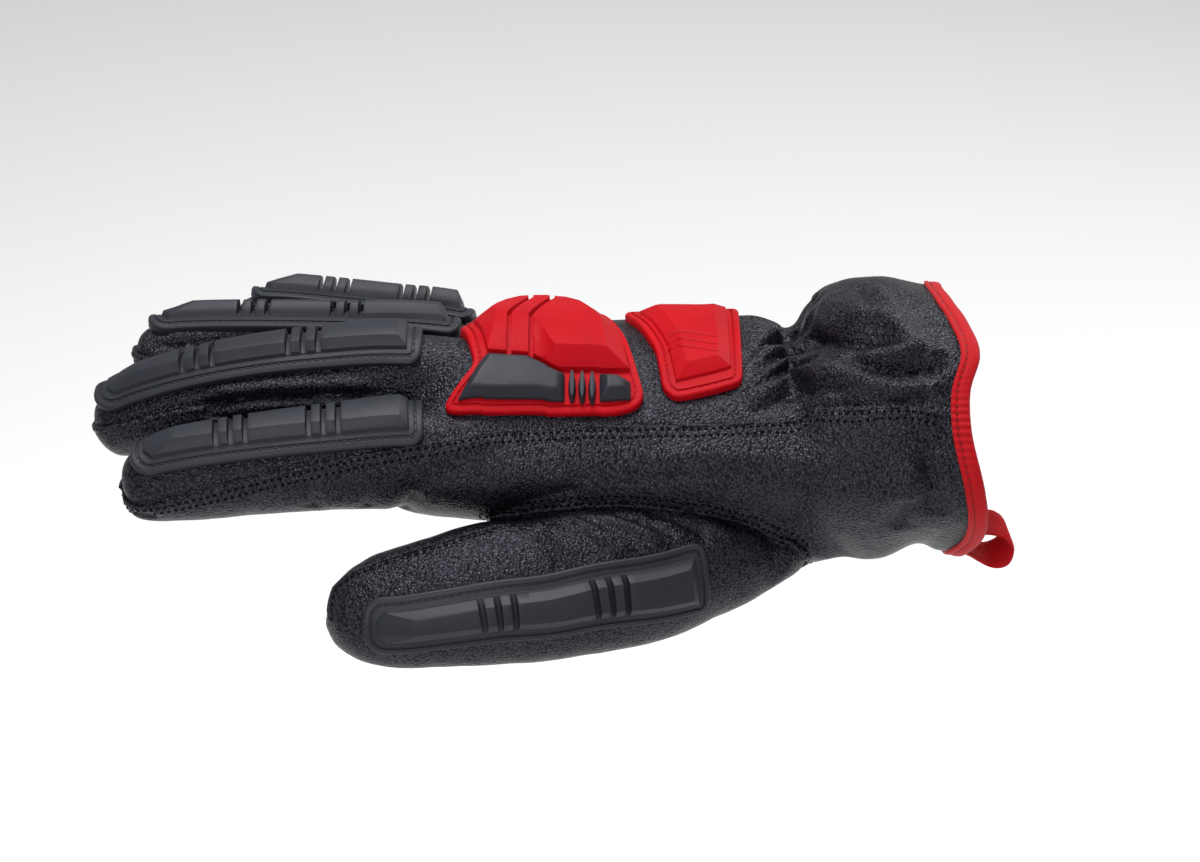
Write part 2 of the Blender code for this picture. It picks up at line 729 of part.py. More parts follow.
def strip_guard(name, length, width, tip_width, groove_shares, wrap, look):
    """A finger guard: stitched flange, bevelled ridge and two groups of three cross grooves."""
    flange = rounded_outline(length, width / 2, tip_width / 2, FLANGE_MARGIN)
    guard = loft(name, [lifted(flange, 0), lifted(flange, FLANGE_THICKNESS)])
    rear = FLANGE_MARGIN
    front = length - FLANGE_MARGIN
    half_rear = width / 2 - FLANGE_MARGIN
    half_front = tip_width / 2 - FLANGE_MARGIN
    base = [
        Vector((rear, -half_rear, 0)),
        Vector((front, -half_front, 0)),
        Vector((front, half_front, 0)),
        Vector((rear, half_rear, 0)),
    ]
    rear_top = rear + FINGER_BEVEL
    front_top = front - 3.4 * FINGER_BEVEL
    top = [
        Vector((rear_top, -half_rear + FINGER_BEVEL, 0)),
        Vector((front_top, -half_front + FINGER_BEVEL, 0)),
        Vector((front_top, half_front - FINGER_BEVEL, 0)),
        Vector((rear_top, half_rear - FINGER_BEVEL, 0)),
    ]
    sill = FLANGE_THICKNESS + 0.35 * (FINGER_GUARD_HEIGHT - FLANGE_THICKNESS)
    ridge = loft("ridge", [
        lifted(base, FLANGE_THICKNESS / 2),
        lifted(inset(base, 0.25 * FINGER_BEVEL), sill),
        lifted(top, FINGER_GUARD_HEIGHT),
    ])
    combine(guard, ridge, "UNION")
    places = [
        share * length + step * CROSS_GROOVE_PITCH
        for share in groove_shares
        for step in (-1, 0, 1)
    ]
    paths = [[(x, -width / 2), (x, width / 2)] for x in places]
    floor = FLANGE_THICKNESS + 0.12 * (FINGER_GUARD_HEIGHT - FLANGE_THICKNESS)
    cutter = channels("grooves", paths, CROSS_GROOVE_WIDTH, floor, 2 * FINGER_GUARD_HEIGHT)
    combine(guard, cutter, "DIFFERENCE")
    bent(guard, wrap, GUARD_STEP_ALONG, GUARD_STEP_ACROSS)
    finish(guard, look)


def finger_guard(finger, look):
    """The guard on the back of one finger."""
    length = finger.length * FINGER_LENGTH
    rear = finger.guard_rear * length
    hold = 0.90 * length
    roll = math.radians(finger.roll)

    def wrap(flat):
        along = rear + flat.x
        centre, _, thumbward, backward = finger_pose(finger, along)
        half_width, half_depth = finger_radii(finger, min(along, hold))
        angle = roll + flat.y / half_width
        place = centre + thumbward * math.sin(angle) * half_width + backward * math.cos(angle) * half_depth
        normal = thumbward * math.sin(angle) / half_width + backward * math.cos(angle) / half_depth
        return place + normal.normalized() * (SEAT_GAP + flat.z)

    guard_length = (finger.guard_front - finger.guard_rear) * length
    width = FINGER_GUARD_WIDTH * (0.45 + 0.55 * finger.width)
    shares = (finger.groove_rear, finger.groove_front)
    strip_guard(finger.name + "_guard", guard_length, width, 0.86 * width, shares, wrap, look)


def thumb_guard(look):
    """The wider guard on the back of the thumb."""
    rear = THUMB_GUARD_REAR * THUMB_LENGTH
    hold = 0.90 * THUMB_LENGTH
    turn = math.radians(THUMB_GUARD_TURN)

    def wrap(flat):
        along = rear + flat.x
        centre, _, across, backward, _, _ = thumb_pose(along)
        _, _, _, _, half_width, half_depth = thumb_pose(min(along, hold))
        angle = turn + flat.y / half_width
        place = centre + across * math.sin(angle) * half_width + backward * math.cos(angle) * half_depth
        normal = across * math.sin(angle) / half_width + backward * math.cos(angle) / half_depth
        return place + normal.normalized() * (SEAT_GAP + flat.z)

    length = (THUMB_GUARD_FRONT - THUMB_GUARD_REAR) * THUMB_LENGTH
    shares = (THUMB_GROOVE_REAR, THUMB_GROOVE_FRONT)
    strip_guard("thumb_guard", length, THUMB_GUARD_WIDTH, 0.8 * THUMB_GUARD_WIDTH, shares, wrap, look)


def back_wrap(flat):
    """Lay a flat point on the back of the hand: x along it, y from the crest, z above it."""
    place, normal = back_point(flat.x, flat.y)
    return place + normal * (SEAT_GAP + flat.z)


def plate_outline(points, rear, length, span):
    """A plate's outline in flat space, run anticlockwise."""
    outline = [Vector((rear + point.along * length, point.across * span / 2, 0)) for point in points]
    return outline[::-1]


def plate(name, outline, body, height, grooves, look):
    """A plate on the back of the hand: a flange with a bevelled raised body."""
    made = loft(name, [lifted(outline, 0), lifted(outline, FLANGE_THICKNESS)])
    sill = FLANGE_THICKNESS + 0.3 * (height - FLANGE_THICKNESS)
    raised = loft("body", [
        lifted(body, FLANGE_THICKNESS / 2),
        lifted(inset(body, 0.1 * PLATE_BEVEL), sill),
        lifted(inset(body, PLATE_BEVEL), height),
    ])
    combine(made, raised, "UNION")
    if grooves:
        cutter = channels("grooves", grooves, BODY_GROOVE_WIDTH, height - BODY_GROOVE_DEPTH, 2 * height)
        combine(made, cutter, "DIFFERENCE")
    bent(made, back_wrap, GUARD_STEP_ALONG, PLATE_STEP_ACROSS)
    finish(made, look)


def knuckle_place(point):
    """A point of the knuckle guard's plan in flat space."""
    rear = KNUCKLE_GUARD_REAR * HAND_LENGTH
    return rear + point.along * KNUCKLE_GUARD_LENGTH, point.across * KNUCKLE_GUARD_SPAN / 2


def knuckle_guard(look):
    """The large plate over the knuckles."""
    rear = KNUCKLE_GUARD_REAR * HAND_LENGTH
    outline = plate_outline(KNUCKLE_OUTLINE, rear, KNUCKLE_GUARD_LENGTH, KNUCKLE_GUARD_SPAN)
    body = plate_outline(KNUCKLE_BODY, rear, KNUCKLE_GUARD_LENGTH, KNUCKLE_GUARD_SPAN)
    grooves = [
        [
            knuckle_place(PlatePoint(share, 0.57)),
            knuckle_place(PlatePoint(share, GROOVE_BEND_ACROSS)),
            knuckle_place(PlatePoint(share - GROOVE_BEND_BACK, -0.40)),
            knuckle_place(PlatePoint(share - GROOVE_BEND_BACK, -0.70)),
        ]
        for share in BODY_GROOVES
    ]
    plate("knuckle_guard", outline, body, KNUCKLE_GUARD_HEIGHT, grooves, look)


def insert_block(name, outline, look):
    """One block of the knuckle guard's insert, seated on the flange."""
    foot = FLANGE_THICKNESS + PIECE_GAP
    block = loft(name, [
        lifted(outline, foot),
        lifted(outline, foot + 0.35 * INSERT_HEIGHT),
        lifted(inset(outline, INSERT_BEVEL), foot + INSERT_HEIGHT),
    ])
    bent(block, back_wrap, GUARD_STEP_ALONG, PLATE_STEP_ACROSS)
    finish(block, look)


def insert_fin(name, share, look):
    """One lens-shaped fin of the insert."""
    foot = FLANGE_THICKNESS + PIECE_GAP
    half = INSERT_FIN_WIDTH * KNUCKLE_GUARD_LENGTH / 2
    place, low = knuckle_place(PlatePoint(share, INSERT_FIN_LOW))
    place, high = knuckle_place(PlatePoint(share, INSERT_FIN_HIGH))
    middle = (low + high) / 2
    outline = [
        Vector((place - 0.3 * half, low, 0)),
        Vector((place + 0.3 * half, low, 0)),
        Vector((place + half, middle, 0)),
        Vector((place + 0.3 * half, high, 0)),
        Vector((place - 0.3 * half, high, 0)),
        Vector((place - half, middle, 0)),
    ]
    crest = [point.lerp(Vector((place, middle, 0)), 0.35) for point in outline]
    fin = loft(name, [lifted(outline, foot), lifted(crest, foot + 0.85 * INSERT_HEIGHT)])
    bent(fin, back_wrap, GUARD_STEP_ALONG, PLATE_STEP_ACROSS)
    finish(fin, look)


def knuckle_insert(look):
    """Front block, three fins and rear block on the thumb side of the knuckle guard."""
    rear = KNUCKLE_GUARD_REAR * HAND_LENGTH
    for name, points in (("insert_front", INSERT_FRONT), ("insert_rear", INSERT_REAR)):
        insert_block(name, plate_outline(points, rear, KNUCKLE_GUARD_LENGTH, KNUCKLE_GUARD_SPAN), look)
    for number in range(INSERT_FIN_COUNT):
        insert_fin("insert_fin_%d" % (number + 1), INSERT_FIN_REAR + number * INSERT_FIN_PITCH, look)


def back_plate(look):
    """The smaller plate between the knuckles and the wrist."""
    rear = BACK_PLATE_REAR * HAND_LENGTH
    outline = plate_outline(BACK_OUTLINE, rear, BACK_PLATE_LENGTH, BACK_PLATE_SPAN)
    body = plate_outline(BACK_BODY, rear, BACK_PLATE_LENGTH, BACK_PLATE_SPAN)
    plate("back_plate", outline, body, BACK_PLATE_HEIGHT, (), look)


def rim_point(k, beyond, offset):
    """A point at one of the hand's sides, past the cuff edge and off the leather."""
    points, normals = hand_section(max(-beyond, 0), HAND_SIDES)
    return points[k] + normals[k] * offset + Vector((max(beyond, 0), 0, 0))


def cuff_binding(look):
    """A folded strip that wraps the cuff edge all round."""
    inside = -LEATHER - PIECE_GAP
    fold = PIECE_GAP + BINDING_THICKNESS
    profile = [
        (-BINDING_WIDTH, PIECE_GAP),
        (-BINDING_WIDTH, PIECE_GAP + BINDING_THICKNESS),
        (fold, PIECE_GAP + BINDING_THICKNESS),
        (fold, inside - BINDING_THICKNESS),
        (-BINDING_INNER_WIDTH, inside - BINDING_THICKNESS),
        (-BINDING_INNER_WIDTH, inside),
        (PIECE_GAP, inside),
        (PIECE_GAP, PIECE_GAP),
    ]
    profiles = [[rim_point(k, beyond, offset) for beyond, offset in profile] for k in range(HAND_SIDES)]
    binding = closed_sweep("cuff_binding", profiles)
    finish(binding, look)


def loop_station(beyond, height, turn):
    """Three points across the loop's webbing, past the rim and above its seat.

    turn goes from 0, where the webbing lies along the rim, to 1, where it hangs aslant.
    """
    points, normals = hand_section(0, HAND_SIDES)
    side = int(LOOP_PLACE * HAND_SIDES)
    share = LOOP_PLACE * HAND_SIDES - side
    along_rim = (points[side + 1] - points[side]).normalized()
    normal = normals[side].lerp(normals[side + 1], share).normalized()
    across = along_rim.lerp(Vector(LOOP_SLANT), turn).normalized() * LOOP_WIDTH
    centre = points[side].lerp(points[side + 1], share) + normal * height + Vector((beyond, 0, 0))
    curve = normal * LOOP_CROWN * (1 - turn)
    return [centre - across / 2 - curve, centre, centre + across / 2 - curve]


def pull_loop(look):
    """A loop of webbing that straddles the cuff edge and stands out past it."""
    fold = PIECE_GAP + BINDING_THICKNESS
    outer = fold + 2 * PIECE_GAP
    inner = -LEATHER - fold - 2 * PIECE_GAP
    middle = (outer + inner) / 2
    half = LOOP_HEIGHT / 2
    reach = fold + LOOP_LENGTH
    run = [
        (-LOOP_TAIL, outer, 0.0),
        (fold, outer, 0.0),
        (reach - 1.3 * half, middle + half, 0.7),
        (reach - 0.35 * half, middle + 0.75 * half, 1.0),
        (reach, middle, 1.0),
        (reach - 0.35 * half, middle - 0.75 * half, 1.0),
        (reach - 1.3 * half, middle - half, 0.7),
        (fold, inner, 0.0),
        (-LOOP_TAIL, inner, 0.0),
    ]
    rings = []
    for k, (beyond, height, turn) in enumerate(run):
        before = Vector(run[max(k - 1, 0)][:2])
        after = Vector(run[min(k + 1, len(run) - 1)][:2])
        travel = (after - before).normalized()
        out = Vector((-travel.y, travel.x)) * LOOP_THICKNESS
        seat = loop_station(beyond, height, turn)
        shell = loop_station(beyond + out.x, height + out.y, turn)
        rings.append(seat + shell[::-1])
    finish(loft("pull_loop", rings), look)


def main():
    for old in list(bpy.data.objects):
        bpy.data.objects.remove(old, do_unlink=True)
    leather = material("black_leather", BLACK_LEATHER, 0.55)
    grey = material("grey_rubber", GREY_RUBBER, 0.6)
    red = material("red_rubber", RED_RUBBER, 0.5)
    fabric = material("red_fabric", RED_FABRIC, 0.8)
    leather_panels(leather)
    thumb_leather(leather)
    for finger in FINGER_ROWS:
        finger_guard(finger, grey)
    thumb_guard(grey)
    knuckle_guard(red)
    knuckle_insert(grey)
    back_plate(red)
    cuff_binding(fabric)
    pull_loop(fabric)


main()
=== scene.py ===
"""Looks of an impact-guarded leather work glove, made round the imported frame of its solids.

The fingers point along -X, the thumb side is -Y and the back of the hand faces +Z. The origin is
the centre of the cuff opening. The leather is one skin, lofted from the same tables of sections
as the solids, folded and creased, and then cut into its panels along the seams.
"""

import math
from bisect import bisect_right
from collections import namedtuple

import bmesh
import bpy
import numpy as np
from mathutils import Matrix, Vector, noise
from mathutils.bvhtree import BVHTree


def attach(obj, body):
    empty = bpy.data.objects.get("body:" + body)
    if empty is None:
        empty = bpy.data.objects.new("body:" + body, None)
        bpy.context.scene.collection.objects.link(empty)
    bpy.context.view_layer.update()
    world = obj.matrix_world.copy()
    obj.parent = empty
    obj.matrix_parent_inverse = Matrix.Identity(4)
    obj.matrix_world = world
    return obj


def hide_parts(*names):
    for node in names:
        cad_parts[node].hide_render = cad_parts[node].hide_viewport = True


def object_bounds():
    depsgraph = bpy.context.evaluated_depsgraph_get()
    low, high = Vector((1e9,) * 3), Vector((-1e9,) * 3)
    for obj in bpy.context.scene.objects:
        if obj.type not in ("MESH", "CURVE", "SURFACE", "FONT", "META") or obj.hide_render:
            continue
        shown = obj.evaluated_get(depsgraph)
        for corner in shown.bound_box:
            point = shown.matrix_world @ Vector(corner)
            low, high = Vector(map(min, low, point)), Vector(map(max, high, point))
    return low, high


bl_info = {
    "name": "Impact work glove",
    "version": (1, 0, 0),
    "blender": (4, 5, 0),
    "location": "View3D > Sidebar > Work glove",
    "description": "Makes the leather, rubber guards, trim and stitches of an impact work glove",
    "category": "Object",
}

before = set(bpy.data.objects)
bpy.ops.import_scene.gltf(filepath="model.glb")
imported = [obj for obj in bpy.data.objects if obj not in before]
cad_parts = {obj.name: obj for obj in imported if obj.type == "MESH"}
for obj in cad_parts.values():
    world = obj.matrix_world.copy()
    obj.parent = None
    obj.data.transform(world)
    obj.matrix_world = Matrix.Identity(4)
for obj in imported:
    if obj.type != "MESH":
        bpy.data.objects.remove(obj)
CAD_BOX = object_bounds()

MM = 0.001

# Sizes of the leather hand, as in the solids
HAND_LENGTH = 172 * MM
HAND_WIDTH = 100 * MM
HAND_DEPTH = 50 * MM
FINGER_LENGTH = 119 * MM
FINGER_WIDTH = 26 * MM
THUMB_LENGTH = 137 * MM
THUMB_WIDTH = 44 * MM
THUMB_DEPTH = 34 * MM
LEATHER = 1.3 * MM

# Rubber guards, as in the solids but for the ridges' heights and the round tips, which follow
# the photograph
SEAT_GAP = 0.6 * MM
SEAT_SINK = 1.2 * MM
FLANGE_THICKNESS = 1.8 * MM
FLANGE_MARGIN = 3.6 * MM
GUARD_TIP_RADIUS = 6.2 * MM
RIDGE_TIP_CUT = 2.6 * MM
RIDGE_SLOPE = 3.4
FINGER_GUARD_TAPER = 0.86
THUMB_GUARD_TAPER = 0.8
FINGER_GUARD_WIDTH = 19.5 * MM
THUMB_GUARD_WIDTH = 20.5 * MM
GUARD_HEIGHTS = {
    "index": 4.9 * MM,
    "middle": 4.7 * MM,
    "ring": 5.8 * MM,
    "little": 6.6 * MM,
    "thumb": 5.6 * MM,
}
FINGER_BEVEL = 2.8 * MM
CROSS_GROOVE_WIDTH = 1.5 * MM
CROSS_GROOVE_PITCH = 4.2 * MM
KNUCKLE_GUARD_LENGTH = 58 * MM
KNUCKLE_GUARD_SPAN = 76 * MM
KNUCKLE_GUARD_HEIGHT = 7.4 * MM
PLATE_BEVEL = 4.2 * MM
BODY_GROOVE_WIDTH = 1.4 * MM
BODY_GROOVE_DEPTH = 1.6 * MM
INSERT_HEIGHT = 4.6 * MM
INSERT_BEVEL = 2.2 * MM
INSERT_SINK = 0.3 * MM
BACK_PLATE_LENGTH = 34.5 * MM
BACK_PLATE_SPAN = 57 * MM
BACK_PLATE_HEIGHT = 4.8 * MM
STITCH_GROOVE_INSET = 2.2 * MM
STITCH_GROOVE_WIDTH = 0.8 * MM
STITCH_GROOVE_DEPTH = 0.5 * MM
# Widths of the mouldings' soft edges, and how far the plates' corners are cut back
GUARD_EDGE = 0.32 * MM
PLATE_EDGE = 0.4 * MM
INSERT_EDGE = 0.35 * MM
FIN_EDGE = 0.2 * MM
PLATE_CORNER = 3 * MM

# Cuff trim
BINDING_WIDTH = 4.4 * MM
BINDING_INNER_WIDTH = 3.8 * MM
BINDING_THICKNESS = 0.9 * MM
BINDING_SEAM = 2.6 * MM
# The binding is gathered round one turn of the forearm. Its place, spread and pitch are in
# degrees, and its depth is a share of the distance from the arm's middle.
GATHER_TURN = 26
GATHER_SPREAD = 13
GATHER_PITCH = 2.8
GATHER_DEPTH = 0.005
LOOP_LENGTH = 13 * MM
LOOP_WIDTH = 10 * MM
LOOP_HEIGHT = 9 * MM
LOOP_THICKNESS = 1.2 * MM
LOOP_TAIL = 4.5 * MM
LOOP_PLACE = 0.825
LOOP_CROWN = 0.35 * MM
LOOP_SLANT = (0.27, -0.83, -0.49)
LOOP_RIB_PITCH = 0.75 * MM
LOOP_RIB_DEPTH = 0.12 * MM

# Edges sharper than these angles, in degrees, stay sharp in the shading
SOFT_CREASE = 60
RUBBER_CREASE = 40
STITCH_CREASE = 35

# Fineness of the meshes
HAND_SIDES = 120
FINGER_SIDES = 48
THUMB_SIDES = 56
RING_STEP = 2.5 * MM
GUARD_STEP_ALONG = 2.0 * MM
GUARD_STEP_ACROSS = 1.6 * MM
BINDING_STATIONS = 720
CUFF_OVERRUN = 9 * MM
WALK_STEPS = 5
RUN_STEP = 0.8 * MM
SHORTEST_RUN = 8
BEAD_SIDES = 8

# Stitches: length, width and height of each kind
GUARD_STITCH = (1.5 * MM, 0.45 * MM, 0.35 * MM)
BINDING_STITCH = (0.9 * MM, 0.5 * MM, 0.4 * MM)
SEAM_STITCH = (1.2 * MM, 0.9 * MM, 0.4 * MM)
STITCH_LIFT = 0.05 * MM
# Where the rows of stitches lie beside their seams
SEAM_ROW_SHIFTS = (1.5 * MM, 3.7 * MM)
THUMB_ROW_SHIFT = -1.6 * MM

# Beads along the seams and the plate: width, height and shift to the side
SEAM_BEAD = (1.3 * MM, 0.6 * MM, 0.15 * MM)
WELT_BEAD = (2.2 * MM, 1.1 * MM, 0.15 * MM)
RIDGE_BEAD = (1.9 * MM, 0.4 * MM, 0)

# The camera stands at the photograph's angle, and PHOTO_PIXEL is a pixel's size at its target
PHOTO_WIDTH = 1200
PHOTO_HEIGHT = 862
PHOTO_PIXEL = 0.3 * MM
CAMERA_TARGET = Vector((-107 * MM, 0, -5.5 * MM))
CAMERA_DISTANCE = 1.1
CAMERA_ELEVATION = math.radians(30)

# The glove hangs in the air, so that its shadow falls far below it
FLOOR_DROP = 260 * MM

# Each row is one section of the hand, from the cuff to the finger roots. along is a share of
# HAND_LENGTH, half_width and side are shares of HAND_WIDTH, and the nine heights round the
# section are shares of HAND_DEPTH. The leans shift the back and the thumb side along the hand.
HandRow = namedtuple(
    "HandRow",
    "along half_width side little back_little back_ring back_middle back_index thumb "
    "palm_index palm_middle palm_little lean_back lean_thumb",
)
HAND_ROWS = [HandRow(*row) for row in (
    (0.000, 0.460, 0.000, 0.00, 0.51, 0.70, 0.72, 0.53, 0.00, -0.60, -0.76, -0.60, 0.080, -0.036),
    (0.044, 0.462, 0.000, 0.00, 0.53, 0.72, 0.74, 0.55, 0.00, -0.58, -0.74, -0.58, 0.070, -0.030),
    (0.100, 0.465, 0.000, 0.00, 0.56, 0.75, 0.77, 0.56, 0.00, -0.61, -0.77, -0.61, 0.040, -0.016),
    (0.150, 0.465, 0.000, 0.00, 0.56, 0.75, 0.76, 0.55, 0.00, -0.63, -0.78, -0.61, 0.010, 0.000),
    (0.200, 0.460, 0.000, 0.00, 0.54, 0.72, 0.73, 0.52, 0.00, -0.62, -0.76, -0.59, 0.000, 0.000),
    (0.245, 0.450, 0.000, -0.02, 0.46, 0.63, 0.64, 0.45, -0.02, -0.62, -0.72, -0.55, 0.000, 0.000),
    (0.290, 0.430, 0.000, -0.02, 0.24, 0.36, 0.40, 0.32, 0.00, -0.62, -0.68, -0.50, 0.000, 0.000),
    (0.340, 0.425, 0.000, 0.00, 0.33, 0.46, 0.47, 0.34, 0.00, -0.62, -0.64, -0.47, 0.000, 0.000),
    (0.450, 0.430, 0.000, 0.02, 0.32, 0.47, 0.48, 0.34, 0.00, -0.56, -0.56, -0.42, 0.000, 0.000),
    (0.560, 0.445, 0.000, 0.02, 0.31, 0.47, 0.50, 0.34, 0.00, -0.48, -0.48, -0.36, 0.000, 0.000),
    (0.660, 0.460, -0.005, 0.02, 0.30, 0.47, 0.53, 0.36, 0.02, -0.42, -0.40, -0.30, 0.000, 0.000),
    (0.770, 0.468, -0.010, 0.03, 0.31, 0.48, 0.58, 0.40, 0.04, -0.37, -0.32, -0.24, 0.000, 0.000),
    (0.860, 0.468, -0.014, 0.04, 0.25, 0.43, 0.59, 0.40, 0.05, -0.34, -0.25, -0.19, 0.000, 0.000),
    (0.920, 0.462, -0.016, 0.04, 0.13, 0.32, 0.48, 0.315, 0.04, -0.31, -0.16, -0.14, 0.000, 0.000),
    (0.965, 0.440, -0.018, 0.04, 0.11, 0.24, 0.37, 0.20, 0.03, -0.27, -0.06, -0.09, 0.000, 0.000),
    (1.000, 0.395, -0.020, 0.04, 0.06, 0.16, 0.26, 0.12, 0.02, -0.18, 0.03, -0.03, 0.000, 0.000),
)]
# Where the nine heights stand across the section, as shares of its half width
SECTION_STATIONS = [
    ("thumb", -1.00),
    ("back_index", -0.70),
    ("back_middle", -0.22),
    ("back_ring", 0.28),
    ("back_little", 0.70),
    ("little", 1.00),
    ("palm_little", 0.62),
    ("palm_middle", 0.00),
    ("palm_index", -0.62),
]

# Each row is one finger. start is a share of HAND_LENGTH, side of HAND_WIDTH, height of
# HAND_DEPTH, length of FINGER_LENGTH and width of FINGER_WIDTH; angles are degrees. Roll turns
# the back of the finger toward the thumb. guard_rear and guard_front are shares of the finger's
# own length; groove_rear and groove_front place the two groups of cross grooves on the guard.
FingerRow = namedtuple(
    "FingerRow",
    "name start side height length width spread droop_root droop_tip roll "
    "guard_rear guard_front groove_rear groove_front",
)
FINGER_ROWS = [FingerRow(*row) for row in (
    ("index", 0.814, -0.336, 0.13, 0.890, 1.02, -2.7, 2.0, 9.0, 7, 0.165, 0.955, 0.335, 0.65),
    ("middle", 0.820, -0.110, 0.35, 0.970, 1.00, 0.0, -1.0, 22.0, 1, 0.155, 0.965, 0.352, 0.67),
    ("ring", 0.806, 0.110, 0.19, 0.910, 0.96, 3.0, -1.0, 0.0, -25, 0.10, 0.965, 0.36, 0.66),
    ("little", 0.798, 0.305, 0.04, 0.700, 0.88, 9.0, -4.0, -4.0, -35, 0.12, 0.955, 0.27, 0.63),
)]
BEND_POWER = 1.5
# Past this share of a finger's length a guard keeps the section's width and depth there
FULL_SECTION = 0.90

# Sections along every finger: share of its length, then half width and half depth as shares of
# half the finger's own width
FingerSection = namedtuple("FingerSection", "along half_width half_depth")
FINGER_SECTIONS = [FingerSection(*row) for row in (
    (0.000, 0.86, 0.92), (0.120, 0.97, 1.06), (0.250, 1.00, 1.10), (0.400, 1.00, 1.04),
    (0.550, 0.99, 1.00), (0.700, 0.96, 0.96), (0.820, 0.92, 0.91), (0.900, 0.87, 0.85),
    (0.950, 0.78, 0.76), (0.980, 0.62, 0.61), (0.995, 0.38, 0.38), (1.000, 0.16, 0.16),
)]

# Sections of the thumb from its base inside the hand to its tip. along is a share of
# THUMB_LENGTH past the base, side of HAND_WIDTH, height of HAND_DEPTH, half_width of
# THUMB_WIDTH and half_depth of THUMB_DEPTH.
ThumbRow = namedtuple("ThumbRow", "along side height half_width half_depth")
THUMB_ROWS = [ThumbRow(*row) for row in (
    (0.000, -0.325, -0.580, 0.060, 0.080), (0.040, -0.332, -0.575, 0.160, 0.190),
    (0.100, -0.350, -0.565, 0.290, 0.320), (0.200, -0.385, -0.540, 0.400, 0.430),
    (0.320, -0.440, -0.535, 0.485, 0.490), (0.440, -0.490, -0.525, 0.505, 0.510),
    (0.540, -0.530, -0.540, 0.490, 0.500), (0.640, -0.560, -0.540, 0.475, 0.470),
    (0.760, -0.590, -0.570, 0.435, 0.430), (0.860, -0.605, -0.600, 0.390, 0.390),
    (0.930, -0.605, -0.605, 0.325, 0.340), (0.975, -0.602, -0.590, 0.225, 0.250),
    (0.995, -0.600, -0.580, 0.130, 0.140),
)]
THUMB_BASE = 0.285
THUMB_ROLL = 60
THUMB_GUARD_TURN = 14
THUMB_GUARD_REAR = 0.232
THUMB_GUARD_FRONT = 0.915
THUMB_GROOVE_REAR = 0.31
THUMB_GROOVE_FRONT = 0.625

# The side seam between the back and palm panels: its height on the thumb side, as a share of
# HAND_DEPTH, and how far it moves inward over the back, in mm
SeamRow = namedtuple("SeamRow", "along height inward")
SEAM_ROWS = [SeamRow(*row) for row in (
    (0.00, 0.41, 4.0), (0.04, 0.44, 5.0), (0.11, 0.47, 6.0), (0.20, 0.44, 6.0),
    (0.25, 0.41, 6.0), (0.30, 0.36, 5.0), (0.41, 0.34, 3.7), (0.57, 0.325, 2.5),
    (0.69, 0.322, 1.1), (0.80, 0.33, 0.0), (0.94, 0.30, 0.0), (1.15, 0.17, 0.0),
    (1.40, -0.06, 0.0),
)]
# At the seams the panel on top swells and the one below sinks; rises are in mm
SEAM_LAP_RISE = 0.75
SEAM_LAP_WIDTH = 7 * MM
SEAM_GROOVE_RISE = -0.5
SEAM_GROOVE_PLACE = 0.6 * MM
SEAM_GROOVE_WIDTH = 1.2 * MM
THUMB_LAP_RISE = 0.9
THUMB_LAP_WIDTH = 5 * MM
THUMB_GROOVE_RISE = -0.8
THUMB_GROOVE_WIDTH = 2.5 * MM

SEAM_SHOULDER = 3 * MM
FINGER_SEAM_RISE = 4.5 * MM
# Toward the cuff the thumb's seam moves over the thumb, gradually along this stretch of x
THUMB_SEAM_SHIFT = 4 * MM
THUMB_SHIFT_SPAN = (-64 * MM, -50 * MM)

# The cuff rim's waves. turn is the angle round the forearm in degrees, from 0 at the thumb side
# over 90 at the back; ahead shifts the rim along the arm and out shifts it away from it, in mm.
RimRow = namedtuple("RimRow", "turn ahead out")
RIM_ROWS = [RimRow(*row) for row in (
    (-90, 0.2, 0.3), (-46, -1.6, 0.5), (-31, 1.1, 0.2), (-8, 0.7, 0.6),
    (0, -0.5, 0.3), (25, -4.0, -0.8), (40, -2.8, -0.8), (55, 1.9, 0.4),
    (74, 1.8, 0.5), (95, 0.3, 0.2), (120, -0.6, -0.4), (150, 0.8, 0.4),
    (185, -1.4, -0.6), (215, 0.9, 0.5), (245, -0.8, -0.5), (270, 0.2, 0.3),
)]
RIM_REACH = 26 * MM

# Outlines of the plates on the back of the hand. along is a share of the plate's length from its
# rear, across a share of half its span, positive toward the thumb.
PlatePoint = namedtuple("PlatePoint", "along across")
KNUCKLE_GUARD_REAR = 0.547
KNUCKLE_OUTLINE = [PlatePoint(*row) for row in (
    (0.00, 0.70), (0.03, 0.80), (0.12, 0.86), (0.50, 0.94), (0.88, 1.00), (0.97, 0.97),
    (1.00, 0.90), (0.97, 0.82), (0.85, 0.58), (0.94, -0.05), (0.93, -0.22), (0.87, -0.50),
    (0.76, -0.74), (0.50, -0.82), (0.30, -0.74), (0.20, -0.53), (0.095, 0.03), (0.03, 0.50),
)]
KNUCKLE_BODY = [PlatePoint(*row) for row in (
    (0.07, 0.50), (0.43, 0.56), (0.58, 0.46), (0.79, 0.47), (0.87, -0.05), (0.84, -0.22),
    (0.78, -0.45), (0.69, -0.60), (0.48, -0.66), (0.34, -0.60), (0.24, -0.42), (0.12, 0.05),
)]
